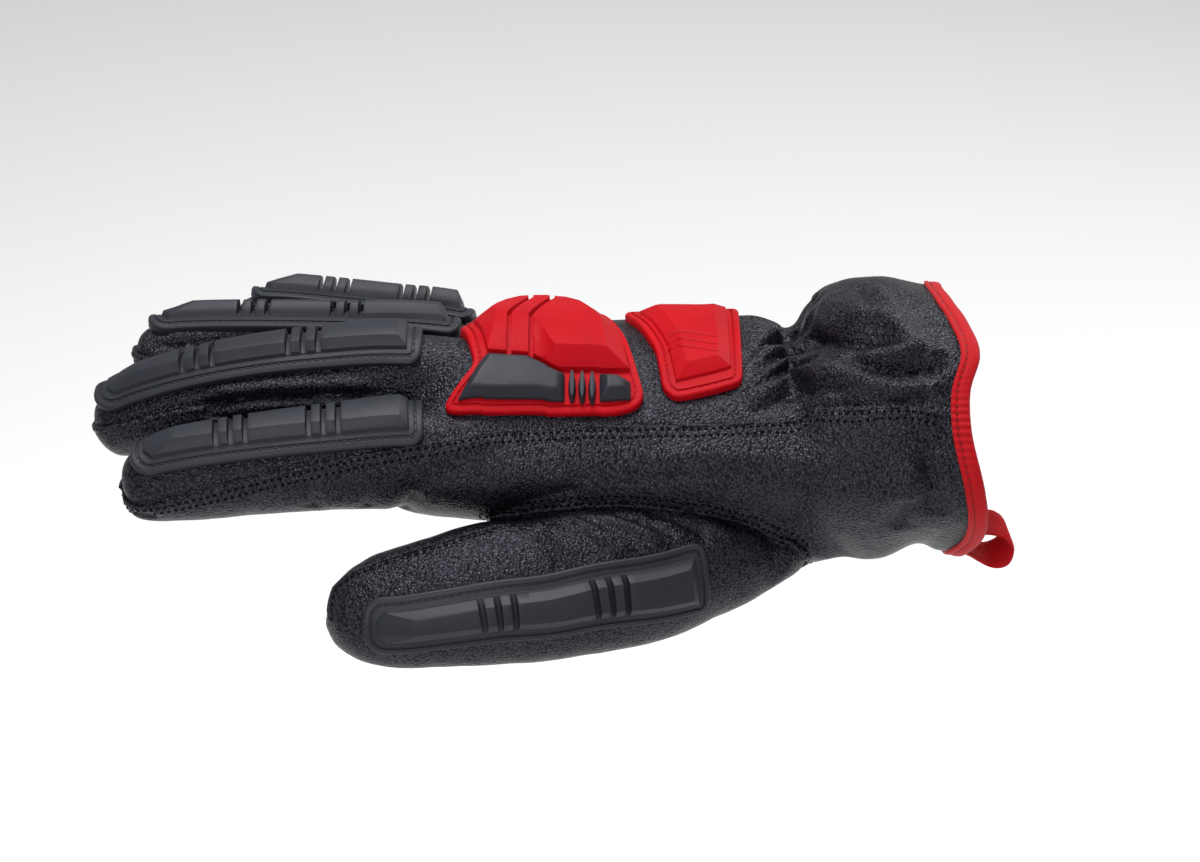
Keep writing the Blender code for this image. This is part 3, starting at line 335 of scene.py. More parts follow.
# The plateau over the body, point for point, and the crease along its edge over the insert
KNUCKLE_TOP = [PlatePoint(*row) for row in (
    (0.19, 0.38), (0.45, 0.42), (0.57, 0.12), (0.74, 0.10), (0.77, -0.05), (0.75, -0.20),
    (0.71, -0.36), (0.64, -0.46), (0.50, -0.50), (0.40, -0.46), (0.33, -0.34), (0.22, 0.05),
)]
INSERT_FRONT = [PlatePoint(*row) for row in (
    (0.40, 0.60), (0.40, 0.83), (0.93, 0.90), (0.79, 0.50), (0.585, 0.49),
)]
INSERT_REAR = [PlatePoint(*row) for row in (
    (0.07, 0.62), (0.07, 0.76), (0.225, 0.79), (0.225, 0.56), (0.13, 0.56),
)]
INSERT_FIN_COUNT = 3
INSERT_FIN_REAR = 0.262
INSERT_FIN_PITCH = 0.05
INSERT_FIN_WIDTH = 0.042
INSERT_FIN_LOW = 0.585
INSERT_FIN_HIGH = 0.83
BODY_GROOVES = (0.57, 0.68)
# Course of a body groove: how far behind its place it lies, where across, and whether it is low
GROOVE_COURSE = (
    (0, 0.57, True), (0, 0.45, True), (0, 0.11, False), (0.10, -0.40, False), (0.10, -0.70, False),
)
GROOVE_LOW_FLOOR = FLANGE_THICKNESS + 0.3 * MM

BACK_PLATE_REAR = 0.380
BACK_OUTLINE = [PlatePoint(*row) for row in (
    (0.00, 0.68), (0.03, 0.77), (0.52, 0.95), (0.60, 0.94), (0.68, 0.84), (0.73, 0.30),
    (0.87, -0.27), (1.00, -0.68), (0.96, -0.86), (0.75, -0.95), (0.10, -0.92), (0.00, -0.80),
)]
BACK_BODY = [PlatePoint(*row) for row in (
    (0.09, 0.58), (0.575, 0.78), (0.635, 0.25), (0.77, -0.32), (0.87, -0.66), (0.72, -0.80),
    (0.10, -0.78),
)]

# Folds of the leather that the photograph shows. Each follows points of the photograph, in its
# pixels, and lies on the leather there. width and depth are in mm; a negative depth is a ridge.
Fold = namedtuple("Fold", "width depth points")
FOLDS = [Fold(*row) for row in (
    # Gathers at the wrist, on the hand's side of the elastic: puffs and the creases between them
    (4.0, -1.8, [(744, 340), (760, 331), (779, 331), (795, 338)]),
    (2.4, -1.6, [(754, 361), (768, 353), (785, 350), (800, 345)]),
    (2.4, -1.5, [(760, 377), (776, 368), (791, 363), (806, 355)]),
    (4.0, -1.3, [(738, 402), (765, 389), (788, 381), (815, 369)]),
    (1.2, 1.9, [(740, 362), (752, 352), (768, 344), (785, 341), (800, 334)]),
    (1.2, 1.9, [(748, 384), (760, 369), (774, 361), (788, 358), (804, 349)]),
    (1.3, 2.2, [(736, 392), (757, 382), (775, 376), (793, 371), (808, 364), (826, 350)]),
    (2.0, 1.4, [(745, 416), (772, 405), (798, 391), (818, 377)]),
    # The flare past the elastic
    (1.5, 1.2, [(790, 336), (799, 324), (808, 306), (822, 292)]),
    (2.6, -1.0, [(800, 330), (812, 316), (826, 301), (838, 290)]),
    (5.0, 5.5, [(800, 340), (826, 334), (852, 335), (878, 338), (900, 345)]),
    (2.8, -2.6, [
        (836, 322), (862, 315), (886, 318), (904, 330), (911, 344), (902, 355), (876, 356), (848, 352),
    ]),
    (2.8, 3.2, [(840, 354), (866, 366), (898, 371), (930, 368), (958, 362)]),
    (3.4, -1.5, [(800, 386), (828, 372), (862, 376), (900, 386), (936, 392)]),
    (1.6, 1.2, [(800, 398), (822, 390), (850, 393)]),
    (2.2, 1.4, [(858, 284), (864, 302), (876, 316)]),
    (3.0, -0.8, [(872, 286), (884, 300), (902, 312)]),
    (2.4, 1.0, [(905, 296), (915, 312), (935, 326)]),
    (1.4, 0.8, [(815, 409), (840, 405), (872, 407)]),
    (1.6, 0.9, [(893, 404), (918, 398), (948, 400)]),
    # Soft dents near the cuff, below the seam
    (5.0, 2.6, [(928, 516), (935, 490), (934, 465), (928, 445)]),
    (4.0, 1.6, [(896, 530), (904, 514), (912, 500)]),
    (4.0, -1.3, [(915, 505), (918, 480), (912, 458)]),
    (4.5, -1.0, [(950, 500), (954, 470), (950, 445)]),
    # The heel of the hand swells toward the thumb's rear end
    (9.0, -3.5, [(770, 552), (790, 552), (812, 547), (835, 542)]),
    # Long soft folds over the heel of the hand
    (4.0, -0.9, [(640, 470), (680, 459), (716, 456), (760, 458), (793, 462), (850, 470)]),
    (3.0, 0.8, [(620, 487), (660, 479), (704, 475), (747, 478)]),
    (3.0, -0.5, [(610, 494), (650, 487), (700, 487), (740, 497)]),
    # The web between the thumb and the hand
    (4.5, 1.6, [(500, 512), (525, 503), (560, 494), (590, 486)]),
    (3.0, -0.8, [(505, 470), (540, 478), (575, 478)]),
    # Puckers of the thumb, fanning out of the web
    (1.5, 1.2, [(538, 528), (547, 543), (556, 558), (566, 574)]),
    (1.2, 0.9, [(560, 519), (578, 531), (596, 546), (613, 562)]),
    (1.2, 0.9, [(577, 516), (600, 523), (626, 533), (655, 548)]),
    (1.4, 1.1, [(605, 511), (630, 517), (655, 526), (683, 541)]),
    (2.4, 1.4, [(640, 512), (672, 518), (700, 531), (712, 545)]),
    (1.8, -0.8, [(548, 526), (563, 540), (580, 557)]),
    (1.8, -0.8, [(567, 519), (590, 529), (616, 544), (633, 556)]),
    (1.8, -0.8, [(590, 514), (618, 522), (642, 532), (666, 547)]),
    (2.4, -0.7, [(650, 510), (690, 516), (722, 529), (742, 548)]),
    # The creases between the fingers, with the rolled leather above and below them
    (1.3, 2.4, [(192, 412), (208, 406), (228, 401), (265, 397), (307, 396), (343, 395), (396, 393)]),
    (2.6, -1.3, [(190, 401), (213, 393), (250, 389), (291, 386), (330, 384), (380, 382)]),
    (1.8, -0.9, [(215, 412), (240, 406), (270, 403), (310, 402), (345, 401), (392, 399)]),
    (1.2, 1.6, [(142, 349), (165, 346), (200, 342), (232, 338), (270, 334), (330, 331)]),
    (2.0, -0.9, [(150, 338), (200, 330), (250, 324), (300, 322)]),
    # The tuck at the index fingertip
    (1.2, 1.0, [(131, 512), (145, 514), (160, 518)]),
    (1.2, -0.6, [(133, 518), (147, 520), (158, 522)]),
    # Creases under the index finger
    (2.2, 0.9, [(312, 518), (314, 505), (320, 492)]),
    (2.2, 0.8, [(366, 517), (368, 504), (372, 492)]),
    (2.6, 1.2, [(402, 517), (408, 503), (420, 490)]),
)]

# Folds fade off between these distances from the cuff's edge
FOLD_FREE_EDGE = (3 * MM, 9 * MM)

# Unevenness of the leather: depth, size and seed of each layer of it
SLACK_LAYERS = ((0.32 * MM, 15 * MM, 1), (0.14 * MM, 5.5 * MM, 2))

# Waves of the cuff's underside, which the photograph shows at its outline. x is the place along
# the arm and reach the width there, both in mm; turn and spread are degrees round the forearm.
Dent = namedtuple("Dent", "x reach turn spread depth")
DENTS = [Dent(*row) for row in (
    (-12.5, 6.0, -60, 26, 3.0), (-27.0, 7.0, -60, 30, -1.0), (-14.0, 7.0, -120, 20, 1.6),
    (-24.0, 8.0, -150, 18, 1.4), (-12.0, 7.0, 160, 16, 1.6),
)]

# The seam over the thumb's far side, in the photograph's pixels
THUMB_EDGE = [(331, 622), (328, 606), (334, 588), (350, 574), (385, 560), (430, 546), (470, 534), (505, 525)]

# Nested ridges on the rear plate, in the photograph's pixels
PLATE_RIDGES = [
    [(668, 336), (678, 330), (700, 333), (719, 336)],
    [(668, 343), (678, 337), (700, 340), (719, 343)],
    [(668, 350), (678, 344), (700, 347), (719, 350)],
]

# Gathers over the rest of the wrist's elastic, where the photograph doesn't reach: the angles
# round the wrist, in degrees from the thumb side over the back
WRIST_ALONG = 50 * MM
HIDDEN_GATHER_WIDTH = 1.7 * MM
HIDDEN_GATHER_DEPTH = 1.1 * MM
HIDDEN_GATHERS = (104, 113, 123, 132, 142, 151, 160, 170, 181, 193, 206, 220, 235, 250, 264, 279, 296, 310)


def slopes(xs, ys):
    """Tangents of a smooth curve through the points, by weighted finite differences."""
    steps = [(ys[i + 1] - ys[i]) / (xs[i + 1] - xs[i]) for i in range(len(xs) - 1)]
    inner = [
        (steps[i - 1] * (xs[i + 1] - xs[i]) + steps[i] * (xs[i] - xs[i - 1])) / (xs[i + 1] - xs[i - 1])
        for i in range(1, len(xs) - 1)
    ]
    return [steps[0], *inner, steps[-1]]


def smooth_value(xs, ys, x):
    """Cubic interpolation of a table column, held constant past its ends."""
    if x <= xs[0]:
        return ys[0]
    if x >= xs[-1]:
        return ys[-1]
    tangents = slopes(xs, ys)
    i = bisect_right(xs, x) - 1
    span = xs[i + 1] - xs[i]
    t = (x - xs[i]) / span
    rest = 1 - t
    return (
        ys[i] * (1 + 2 * t) * rest * rest
        + tangents[i] * span * t * rest * rest
        + ys[i + 1] * t * t * (3 - 2 * t)
        - tangents[i + 1] * span * t * t * rest
    )


def table_row(rows, x):
    """Every column of a table at the place x along its first column."""
    xs = [row[0] for row in rows]
    return type(rows[0])(*(smooth_value(xs, column, x) for column in zip(*rows)))


def catmull(a, b, c, d, t):
    """A point on the Catmull-Rom curve from b to c."""
    return 0.5 * (2 * b + (c - a) * t + (2 * a - 5 * b + 4 * c - d) * t * t + (3 * b - a - 3 * c + d) * t**3)


def smooth_step(low, high, value):
    """0 below low, 1 above high and a smooth rise between, for numbers or arrays."""
    t = np.clip((value - low) / (high - low), 0, 1)
    return t * t * (3 - 2 * t)


def swell(values, middle, width):
    """1 at the middle and a smooth fall to 0 on both sides of it."""
    return np.exp(-(((values - middle) / width) ** 2))


def hand_section(along, count):
    """Points round the hand at a distance along it, with their outward normals."""
    row = table_row(HAND_ROWS, max(along, 0) / HAND_LENGTH)
    half = row.half_width * HAND_WIDTH
    knots = [
        Vector((0, row.side * HAND_WIDTH + share * half, getattr(row, name) * HAND_DEPTH))
        for name, share in SECTION_STATIONS
    ]
    points = []
    for k in range(count):
        place = k * len(knots) / count
        i = int(place)
        near = [knots[(i + j) % len(knots)] for j in (-1, 0, 1, 2)]
        points.append(catmull(*near, place - i))
    top = max(point.z for point in points)
    normals = []
    for k, point in enumerate(points):
        chord = points[(k + 1) % count] - points[k - 1]
        normals.append(Vector((0, -chord.z, chord.y)).normalized())
        back = max(point.z, 0) / top * (0.5 + 0.5 * point.y / half) * row.lean_back
        thumb = max(-point.y, 0) / half * row.lean_thumb
        point.x = -along - (back + thumb) * HAND_WIDTH
    return points, normals


def finger_pose(finger, along):
    """Centre, thumbward and backward directions at a distance along a finger."""
    length = finger.length * FINGER_LENGTH
    share = along / length
    spread = math.radians(finger.spread)
    turn = finger.droop_tip - finger.droop_root
    mean = math.radians(finger.droop_root + turn * max(share, 0) ** BEND_POWER / (BEND_POWER + 1))
    droop = math.radians(finger.droop_root + turn * max(share, 0) ** BEND_POWER)
    centre = Vector((
        -finger.start * HAND_LENGTH - along * math.cos(spread) * math.cos(mean),
        finger.side * HAND_WIDTH + along * math.sin(spread),
        finger.height * HAND_DEPTH - along * math.sin(mean),
    ))
    forward = Vector((
        -math.cos(spread) * math.cos(droop),
        math.sin(spread) * math.cos(droop),
        -math.sin(droop),
    ))
    thumbward = Vector((0, 0, 1)).cross(forward).normalized()
    return centre, thumbward, forward.cross(thumbward)


def finger_radii(finger, along):
    """Half width and half depth of a finger's outside."""
    row = table_row(FINGER_SECTIONS, along / (finger.length * FINGER_LENGTH))
    half = finger.width * FINGER_WIDTH / 2
    return row.half_width * half, row.half_depth * half


def oval(centre, across, backward, half_width, half_depth, sides):
    """A ring of points round a finger or the thumb."""
    ring = []
    for k in range(sides):
        angle = 2 * math.pi * (k + 0.5) / sides
        side = across * math.sin(angle) * half_width
        ring.append(centre + side + backward * math.cos(angle) * half_depth)
    return ring


def finger_ring(finger, along):
    """The ring of mesh points round a finger."""
    return oval(*finger_pose(finger, along), *finger_radii(finger, along), FINGER_SIDES)


def thumb_pose(along):
    """Centre, across and backward directions and half sizes at a distance along the thumb."""
    row = table_row(THUMB_ROWS, along / THUMB_LENGTH)
    ahead = table_row(THUMB_ROWS, min(along / THUMB_LENGTH + 0.02, 1))
    behind = table_row(THUMB_ROWS, max(along / THUMB_LENGTH - 0.02, 0))
    centres = [
        Vector((
            -THUMB_BASE * HAND_LENGTH - at.along * THUMB_LENGTH,
            at.side * HAND_WIDTH,
            at.height * HAND_DEPTH,
        ))
        for at in (behind, row, ahead)
    ]
    centres[1].x = -THUMB_BASE * HAND_LENGTH - along
    forward = (centres[2] - centres[0]).normalized()
    roll = math.radians(THUMB_ROLL)
    facing = Vector((0, -math.sin(roll), math.cos(roll)))
    across = facing.cross(forward).normalized()
    backward = forward.cross(across)
    return centres[1], across, backward, row.half_width * THUMB_WIDTH, row.half_depth * THUMB_DEPTH


def thumb_ring(along):
    """The ring of mesh points round the thumb."""
    return oval(*thumb_pose(along), THUMB_SIDES)


def link(name, mesh):
    """A new object of the scene that shows a mesh."""
    made = bpy.data.objects.new(name, mesh)
    bpy.context.scene.collection.objects.link(made)
    return made


def make_object(name, vertices, faces):
    """A mesh object whose faces point outward."""
    mesh = bpy.data.meshes.new(name)
    mesh.from_pydata([tuple(vertex) for vertex in vertices], [], faces)
    shape = bmesh.new()
    shape.from_mesh(mesh)
    bmesh.ops.recalc_face_normals(shape, faces=shape.faces)
    shape.to_mesh(mesh)
    shape.free()
    return link(name, mesh)


def ring_quads(rows, count, closed):
    """Quads between rings of count points each, and from the last to the first where closed."""
    total = rows * count
    faces = []
    for r in range(rows if closed else rows - 1):
        for k in range(count):
            here = r * count + k
            beside = r * count + (k + 1) % count
            faces.append((here, beside, (beside + count) % total, (here + count) % total))
    return faces


def loft(name, rings):
    """A closed tube through rings of equal length, with flat ends."""
    count = len(rings[0])
    ends = [tuple(range(count)), tuple(range((len(rings) - 1) * count, len(rings) * count))]
    faces = ends + ring_quads(len(rings), count, False)
    return make_object(name, [point for ring in rings for point in ring], faces)


def closed_sweep(name, profiles):
    """A ring whose profiles follow each other round a closed path."""
    faces = ring_quads(len(profiles), len(profiles[0]), True)
    return make_object(name, [point for profile in profiles for point in profile], faces)


def mesh_from(shape, name):
    """A mesh made from a bmesh, which is freed."""
    mesh = bpy.data.meshes.new(name)
    shape.to_mesh(mesh)
    shape.free()
    return mesh


def bake(target):
    """Replace an object's mesh by what its modifiers make of it."""
    graph = bpy.context.evaluated_depsgraph_get()
    mesh = bpy.data.meshes.new_from_object(target.evaluated_get(graph))
    target.modifiers.clear()
    target.data = mesh


def combine(target, tool, operation):
    """Join or cut two solids, and use up the second."""
    boolean = target.modifiers.new(operation, "BOOLEAN")
    boolean.operation = operation
    boolean.solver = "EXACT"
    boolean.object = tool
    bake(target)
    bpy.data.objects.remove(tool, do_unlink=True)


def dress(target, finish, node, crease=STITCH_CREASE):
    """Give a finished piece its material, and let it stand for its solid in the frame."""
    target.data.materials.clear()
    target.data.materials.append(finish)
    target.data.shade_smooth()
    target.data.set_sharp_from_angle(angle=math.radians(crease))
    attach(target, "root")
    if node:
        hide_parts(node)


def coordinates(mesh):
    """A mesh's vertices as an array."""
    flat = np.empty(3 * len(mesh.vertices))
    mesh.vertices.foreach_get("co", flat)
    return flat.reshape(-1, 3)


def vertex_normals(mesh):
    """A mesh's vertex normals as an array."""
    flat = np.empty(3 * len(mesh.vertices))
    mesh.vertex_normals.foreach_get("vector", flat)
    return flat.reshape(-1, 3)


# Leather skin

def skin_tubes():
    """Closed tubes of the hand, the fingers and the thumb, which overlap each other."""
    stations = np.arange(0, HAND_LENGTH, RING_STEP).tolist() + [HAND_LENGTH]
    rings = [hand_section(along, HAND_SIDES)[0] for along in stations]
    rings.insert(0, [point + Vector((CUFF_OVERRUN, 0, 0)) for point in rings[0]])
    hand = [loft("hand", rings)]
    for finger in FINGER_ROWS:
        length = finger.length * FINGER_LENGTH
        shares = np.concatenate([np.arange(0, 0.9, RING_STEP / length), np.linspace(0.9, 1.0, 12)])
        hand.append(loft(finger.name, [finger_ring(finger, share * length) for share in shares]))
    shares = np.concatenate([
        np.linspace(0, 0.1, 6), np.arange(0.12, 0.9, RING_STEP / THUMB_LENGTH), np.linspace(0.9, 0.995, 10)
    ])
    thumb = loft("thumb", [thumb_ring(share * THUMB_LENGTH) for share in shares])
    return hand, thumb


def surface_tree(objects):
    """A search tree over the faces of objects."""
    shape = bmesh.new()
    for each in objects:
        shape.from_mesh(each.data)
    tree = BVHTree.FromBMesh(shape)
    shape.free()
    return tree


def fused_skin(tubes, voxel, smoothing):
    """One closed even-meshed skin round overlapping tubes."""
    shape = bmesh.new()
    for tube in tubes:
        shape.from_mesh(tube.data)
    skin = link("skin", mesh_from(shape, "skin"))
    remesh = skin.modifiers.new("even", "REMESH")
    remesh.mode = "VOXEL"
    remesh.voxel_size = voxel
    smooth = skin.modifiers.new("smooth", "SMOOTH")
    smooth.factor = 0.5
    smooth.iterations = smoothing
    bake(skin)
    return skin


def tree_distances(tree, points):
    """Distance of each point from a surface."""
    return np.array([tree.find_nearest(point)[3] for point in points])


def seam_values(points):
    """Height of each point above the surface that parts the back panel from the palm panel."""
    reach = HAND_LENGTH + FINGER_LENGTH
    xs = np.arange(-0.02, reach + 0.01, MM)
    seam_xs = [row.along for row in SEAM_ROWS]
    seam_heights = [row.height for row in SEAM_ROWS]
    seam_shifts = [row.inward * MM for row in SEAM_ROWS]
    ys = []
    zs = []
    for along in xs:
        near = smooth_value(seam_xs, seam_heights, along / HAND_LENGTH) * HAND_DEPTH
        shift = smooth_value(seam_xs, seam_shifts, along / HAND_LENGTH)
        row = []
        for finger in FINGER_ROWS:
            place = min(max(along - finger.start * HAND_LENGTH, 0), finger.length * FINGER_LENGTH)
            centre = finger_pose(finger, place)[0]
            half = 0.45 * finger.width * FINGER_WIDTH
            if not row:
                row.append((centre.y - SEAM_SHOULDER + shift, near))
                row.append((centre.y + shift, centre.z))
            else:
                rise = FINGER_SEAM_RISE * smooth_value((0.75, 0.95), (0, 1), along / HAND_LENGTH)
                row.append((centre.y - half, centre.z + rise))
                row.append((centre.y, centre.z + 0.5 * rise))
            row.append((centre.y + half, centre.z))
        row = [row[0]] + [(max(y, row[k][0] + 0.1 * MM), z) for k, (y, z) in enumerate(row[1:])]
        ys.append([y for y, z in row])
        zs.append([z for y, z in row])
    place = np.clip((-points[:, 0] - xs[0]) / MM, 0, len(xs) - 1.001)
    rows = place.astype(int)
    share = place - rows
    heights = np.empty(len(points))
    for row in np.unique(rows):
        chosen = rows == row
        low = np.interp(points[chosen, 1], ys[row], zs[row])
        high = np.interp(points[chosen, 1], ys[row + 1], zs[row + 1])
        heights[chosen] = low + (high - low) * share[chosen]
    return points[:, 2] - heights


def turn_angles(points):
    """Angle of each point round the forearm's axis, in degrees, from the thumb side over the back."""
    return np.degrees(np.arctan2(points[:, 2], -points[:, 1]))


def rim_shift(turns):
    """How far the rim's waves move it ahead and out at angles round the forearm."""
    rows = RIM_ROWS[:-1]
    xs = [row.turn for row in rows]
    padded_xs = [x - 360 for x in xs] + xs + [x + 360 for x in xs]
    ahead = [row.ahead for row in rows] * 3
    out = [row.out for row in rows] * 3
    samples = np.arange(-180, 181, 2)
    ahead_samples = [smooth_value(padded_xs, ahead, x) for x in samples]
    out_samples = [smooth_value(padded_xs, out, x) for x in samples]
    return np.interp(turns, samples, ahead_samples) * MM, np.interp(turns, samples, out_samples) * MM


def rim_waved(points):
    """Points near the cuff moved by the rim's waves."""
    ahead, out = rim_shift(turn_angles(points))
    weight = 1 - smooth_step(0, RIM_REACH, -points[:, 0])
    moved = points.copy()
    moved[:, 0] += ahead * weight
    radius = np.hypot(points[:, 1], points[:, 2])
    scale = 1 + out * weight / np.maximum(radius, MM)
    moved[:, 1] *= scale
    moved[:, 2] *= scale
    return moved


def rim_values(points):
    """How far each point lies past the cuff's rim, before its waves."""
    row = HAND_ROWS[0]
    half = row.half_width * HAND_WIDTH
    top = row.back_middle * HAND_DEPTH
    back = np.maximum(points[:, 2], 0) / top * (0.5 + 0.5 * points[:, 1] / half) * row.lean_back
    thumb = np.maximum(-points[:, 1], 0) / half * row.lean_thumb
    return points[:, 0] + (back + thumb) * HAND_WIDTH


def camera_place():
    """Where the camera stands."""
    back = Vector((0, -math.cos(CAMERA_ELEVATION), math.sin(CAMERA_ELEVATION)))
    return CAMERA_TARGET + back * CAMERA_DISTANCE


def photo_ray(x, y):
    """The direction from the camera through a pixel of the photograph."""
    up = Vector((0, math.sin(CAMERA_ELEVATION), math.cos(CAMERA_ELEVATION)))
    place = CAMERA_TARGET.copy()
    place += Vector((1, 0, 0)) * (x - PHOTO_WIDTH / 2) * PHOTO_PIXEL
    place += up * (PHOTO_HEIGHT / 2 - y) * PHOTO_PIXEL
    return (place - camera_place()).normalized()


def path_on_skin(tree, pixels):
    """Points on the leather under a path drawn on the photograph."""
    spots = [
        (x0 + (x1 - x0) * share, y0 + (y1 - y0) * share)
        for (x0, y0), (x1, y1) in zip(pixels, pixels[1:])
        for share in (0, 0.25, 0.5, 0.75)
    ]
    hits = [tree.ray_cast(camera_place(), photo_ray(*spot))[0] for spot in [*spots, pixels[-1]]]
    return np.array([tuple(hit) for hit in hits if hit is not None])


def path_distances(points, path):
    """Each point's distance from a path, and the share of the path's length where it is nearest."""
    best = np.full(len(points), np.inf)
    share = np.zeros(len(points))
    lengths = np.linalg.norm(np.diff(path, axis=0), axis=1)
    total = lengths.sum()
    done = 0.0
    for start, end, length in zip(path, path[1:], lengths):
        along = np.clip((points - start) @ (end - start) / max(length * length, 1e-12), 0, 1)
        gaps = np.linalg.norm(points - start - along[:, None] * (end - start), axis=1)
        closer = gaps < best
        best[closer] = gaps[closer]
        share[closer] = ((done + along * length) / total)[closer]
        done += length
    return best, share


def add_fold(heights, points, path, width, depth):
    """Press a valley, or raise a ridge, into heights along a path over the points."""
    if len(path) < 2:
        return
    reach = 3.5 * width
    low = path.min(axis=0) - reach
    high = path.max(axis=0) + reach
    near = np.flatnonzero(((points > low) & (points < high)).all(axis=1))
    if not len(near):
        return
    gaps, share = path_distances(points[near], path)
    taper = smooth_step(0, 0.2, share) * smooth_step(0, 0.2, 1 - share)
    if depth < 0:
        heights[near] -= depth * taper * swell(gaps, 0, width)
        return
    crease = np.exp(-gaps / (0.75 * width))
    heights[near] += depth * taper * (0.25 * swell(gaps, 2.2 * width, width) - crease)


def hidden_gather_paths():
    """Paths of the wrist's gathers outside the photograph's view."""
    source = np.random.default_rng(5)
    paths = []
    for turn in HIDDEN_GATHERS:
        middle = WRIST_ALONG + source.uniform(-4, 4) * MM
        reach = source.uniform(9, 17) * MM
        slant = source.uniform(-7, 7)
        path = []
        for share in np.linspace(-1, 1, 7):
            points, _ = hand_section(middle + share * reach, 72)
            wanted = math.radians(turn + slant * share)
            direction = Vector((0, -math.cos(wanted), math.sin(wanted)))
            best = max(points, key=lambda p: Vector((0, p.y, p.z)).normalized().dot(direction))
            path.append(tuple(best))
        paths.append(np.array(path))
    return paths


def noise_values(points, size, seed):
    """Smooth noise from -1 to 1 with features of a size, at each point."""
    shift = Vector((seed * 7.3, seed * 3.1, seed * 5.7))
    return np.array([noise.noise(Vector(point) / size + shift) for point in points])


def fold_heights(points, tree):
    """How far folds, gathers and slack move each point of the skin outward."""
    heights = np.zeros(len(points))
    for fold in FOLDS:
        add_fold(heights, points, path_on_skin(tree, fold.points), fold.width * MM, fold.depth * MM)
    for path in hidden_gather_paths():
        add_fold(heights, points, path, HIDDEN_GATHER_WIDTH, HIDDEN_GATHER_DEPTH)
    turns = turn_angles(points)
    for dent in DENTS:
        across = (turns - dent.turn + 180) % 360 - 180
        near = swell(points[:, 0] / MM, dent.x, dent.reach) * swell(across, 0, dent.spread)
        heights -= dent.depth * MM * near
    for depth, size, seed in SLACK_LAYERS:
        heights += depth * noise_values(points, size, seed)
    return heights * smooth_step(*FOLD_FREE_EDGE, -points[:, 0])


def cut_along_zero(shape, layer):
    """Cut a mesh along the line where a value on its vertices is zero."""
    crossing = []
    for edge in shape.edges:
        first, second = edge.verts
        if first[layer] * second[layer] < 0:
            crossing.append((edge, first, first[layer] / (first[layer] - second[layer])))
    made = []
    for edge, first, share in crossing:
        _, vertex = bmesh.utils.edge_split(edge, first, min(max(share, 0.04), 0.96))
        vertex[layer] = 0.0
        made.append(vertex)
    bmesh.ops.connect_verts(shape, verts=made)


def keep_side(shape, layer, sign):
    """Delete the faces of a cut mesh on the other side of a value's zero line."""
    gone = [face for face in shape.faces if sign * sum(vertex[layer] for vertex in face.verts) < 0]
    bmesh.ops.delete(shape, geom=gone, context="FACES")


def largest_part(shape):
    """Delete all but the largest connected part of a mesh."""
    left = set(shape.faces)
    parts = []
    while left:
        seed = left.pop()
        part = {seed}
        front = [seed]
        while front:
            face = front.pop()
            for edge in face.edges:
                for other in edge.link_faces:
                    if other in left:
                        left.remove(other)
                        part.add(other)
                        front.append(other)
        parts.append(part)
    parts.sort(key=len)
    gone = [face for part in parts[:-1] for face in part]
    bmesh.ops.delete(shape, geom=gone, context="FACES")


def boundary_paths(mesh):
    """The open edges of a mesh, chained into closed loops of vertex numbers."""
    shape = bmesh.new()
    shape.from_mesh(mesh)
    follows = {}
    for edge in shape.edges:
        if len(edge.link_loops) == 1:
            loop = edge.link_loops[0]
            follows[loop.vert.index] = loop.link_loop_next.vert.index
    shape.free()
    paths = []
    while follows:
        start, following = follows.popitem()
        path = [start]
        while following != start and following in follows:
            path.append(following)
            following = follows.pop(following)
        paths.append(path)
    return paths


SkinPanel = namedtuple("SkinPanel", "name node sides")
SKIN_PANELS = [
    SkinPanel("back_panel", "back_leather", (("seam", 1), ("thumb", -1))),
    SkinPanel("palm_panel", "palm_leather", (("seam", -1), ("thumb", -1))),
    SkinPanel("thumb_panel", "thumb_leather", (("thumb", 1),)),
]


def leather_skin(voxel):
    """The folded skin of the whole glove, with the values that its panels are cut along."""
    hand, thumb = skin_tubes()
    hand_tree = surface_tree(hand)
    thumb_tree = surface_tree([thumb])
    skin = fused_skin(hand + [thumb], voxel, 7)
    for tube in hand + [thumb]:
        bpy.data.objects.remove(tube, do_unlink=True)
    points = coordinates(skin.data)
    normals = vertex_normals(skin.data)
    tree = surface_tree([skin])
    values = {
        "thumb": tree_distances(hand_tree, points) - tree_distances(thumb_tree, points),
        "seam": seam_values(points),
        "rim": rim_values(points),
    }
    values["thumb"] -= THUMB_SEAM_SHIFT * smooth_step(*THUMB_SHIFT_SPAN, points[:, 0])
    heights = fold_heights(points, tree)
    on_hand = values["thumb"] < 0
    seam = values["seam"]
    lap = SEAM_LAP_RISE * swell(seam, 0, SEAM_LAP_WIDTH) * (seam < 0)
    groove = SEAM_GROOVE_RISE * swell(seam, SEAM_GROOVE_PLACE, SEAM_GROOVE_WIDTH) * (seam > 0)
    off_rim = smooth_step(BINDING_WIDTH, 2 * BINDING_WIDTH, -points[:, 0])
    heights += np.where(on_hand, lap + groove, 0) * off_rim * MM
    thumb_lap = THUMB_LAP_RISE * swell(values["thumb"], 0, THUMB_LAP_WIDTH)
    thumb_groove = THUMB_GROOVE_RISE * swell(values["thumb"], 0, THUMB_GROOVE_WIDTH)
    heights += np.where(on_hand, thumb_lap, thumb_groove) * MM
    moved = rim_waved(points + normals * heights[:, None])
    skin.data.vertices.foreach_set("co", moved.ravel())
    skin.data.update()
    for name, each in values.items():
        layer = skin.data.attributes.new(name, "FLOAT", "POINT")
        layer.data.foreach_set("value", each.astype(np.float32))
    return skin


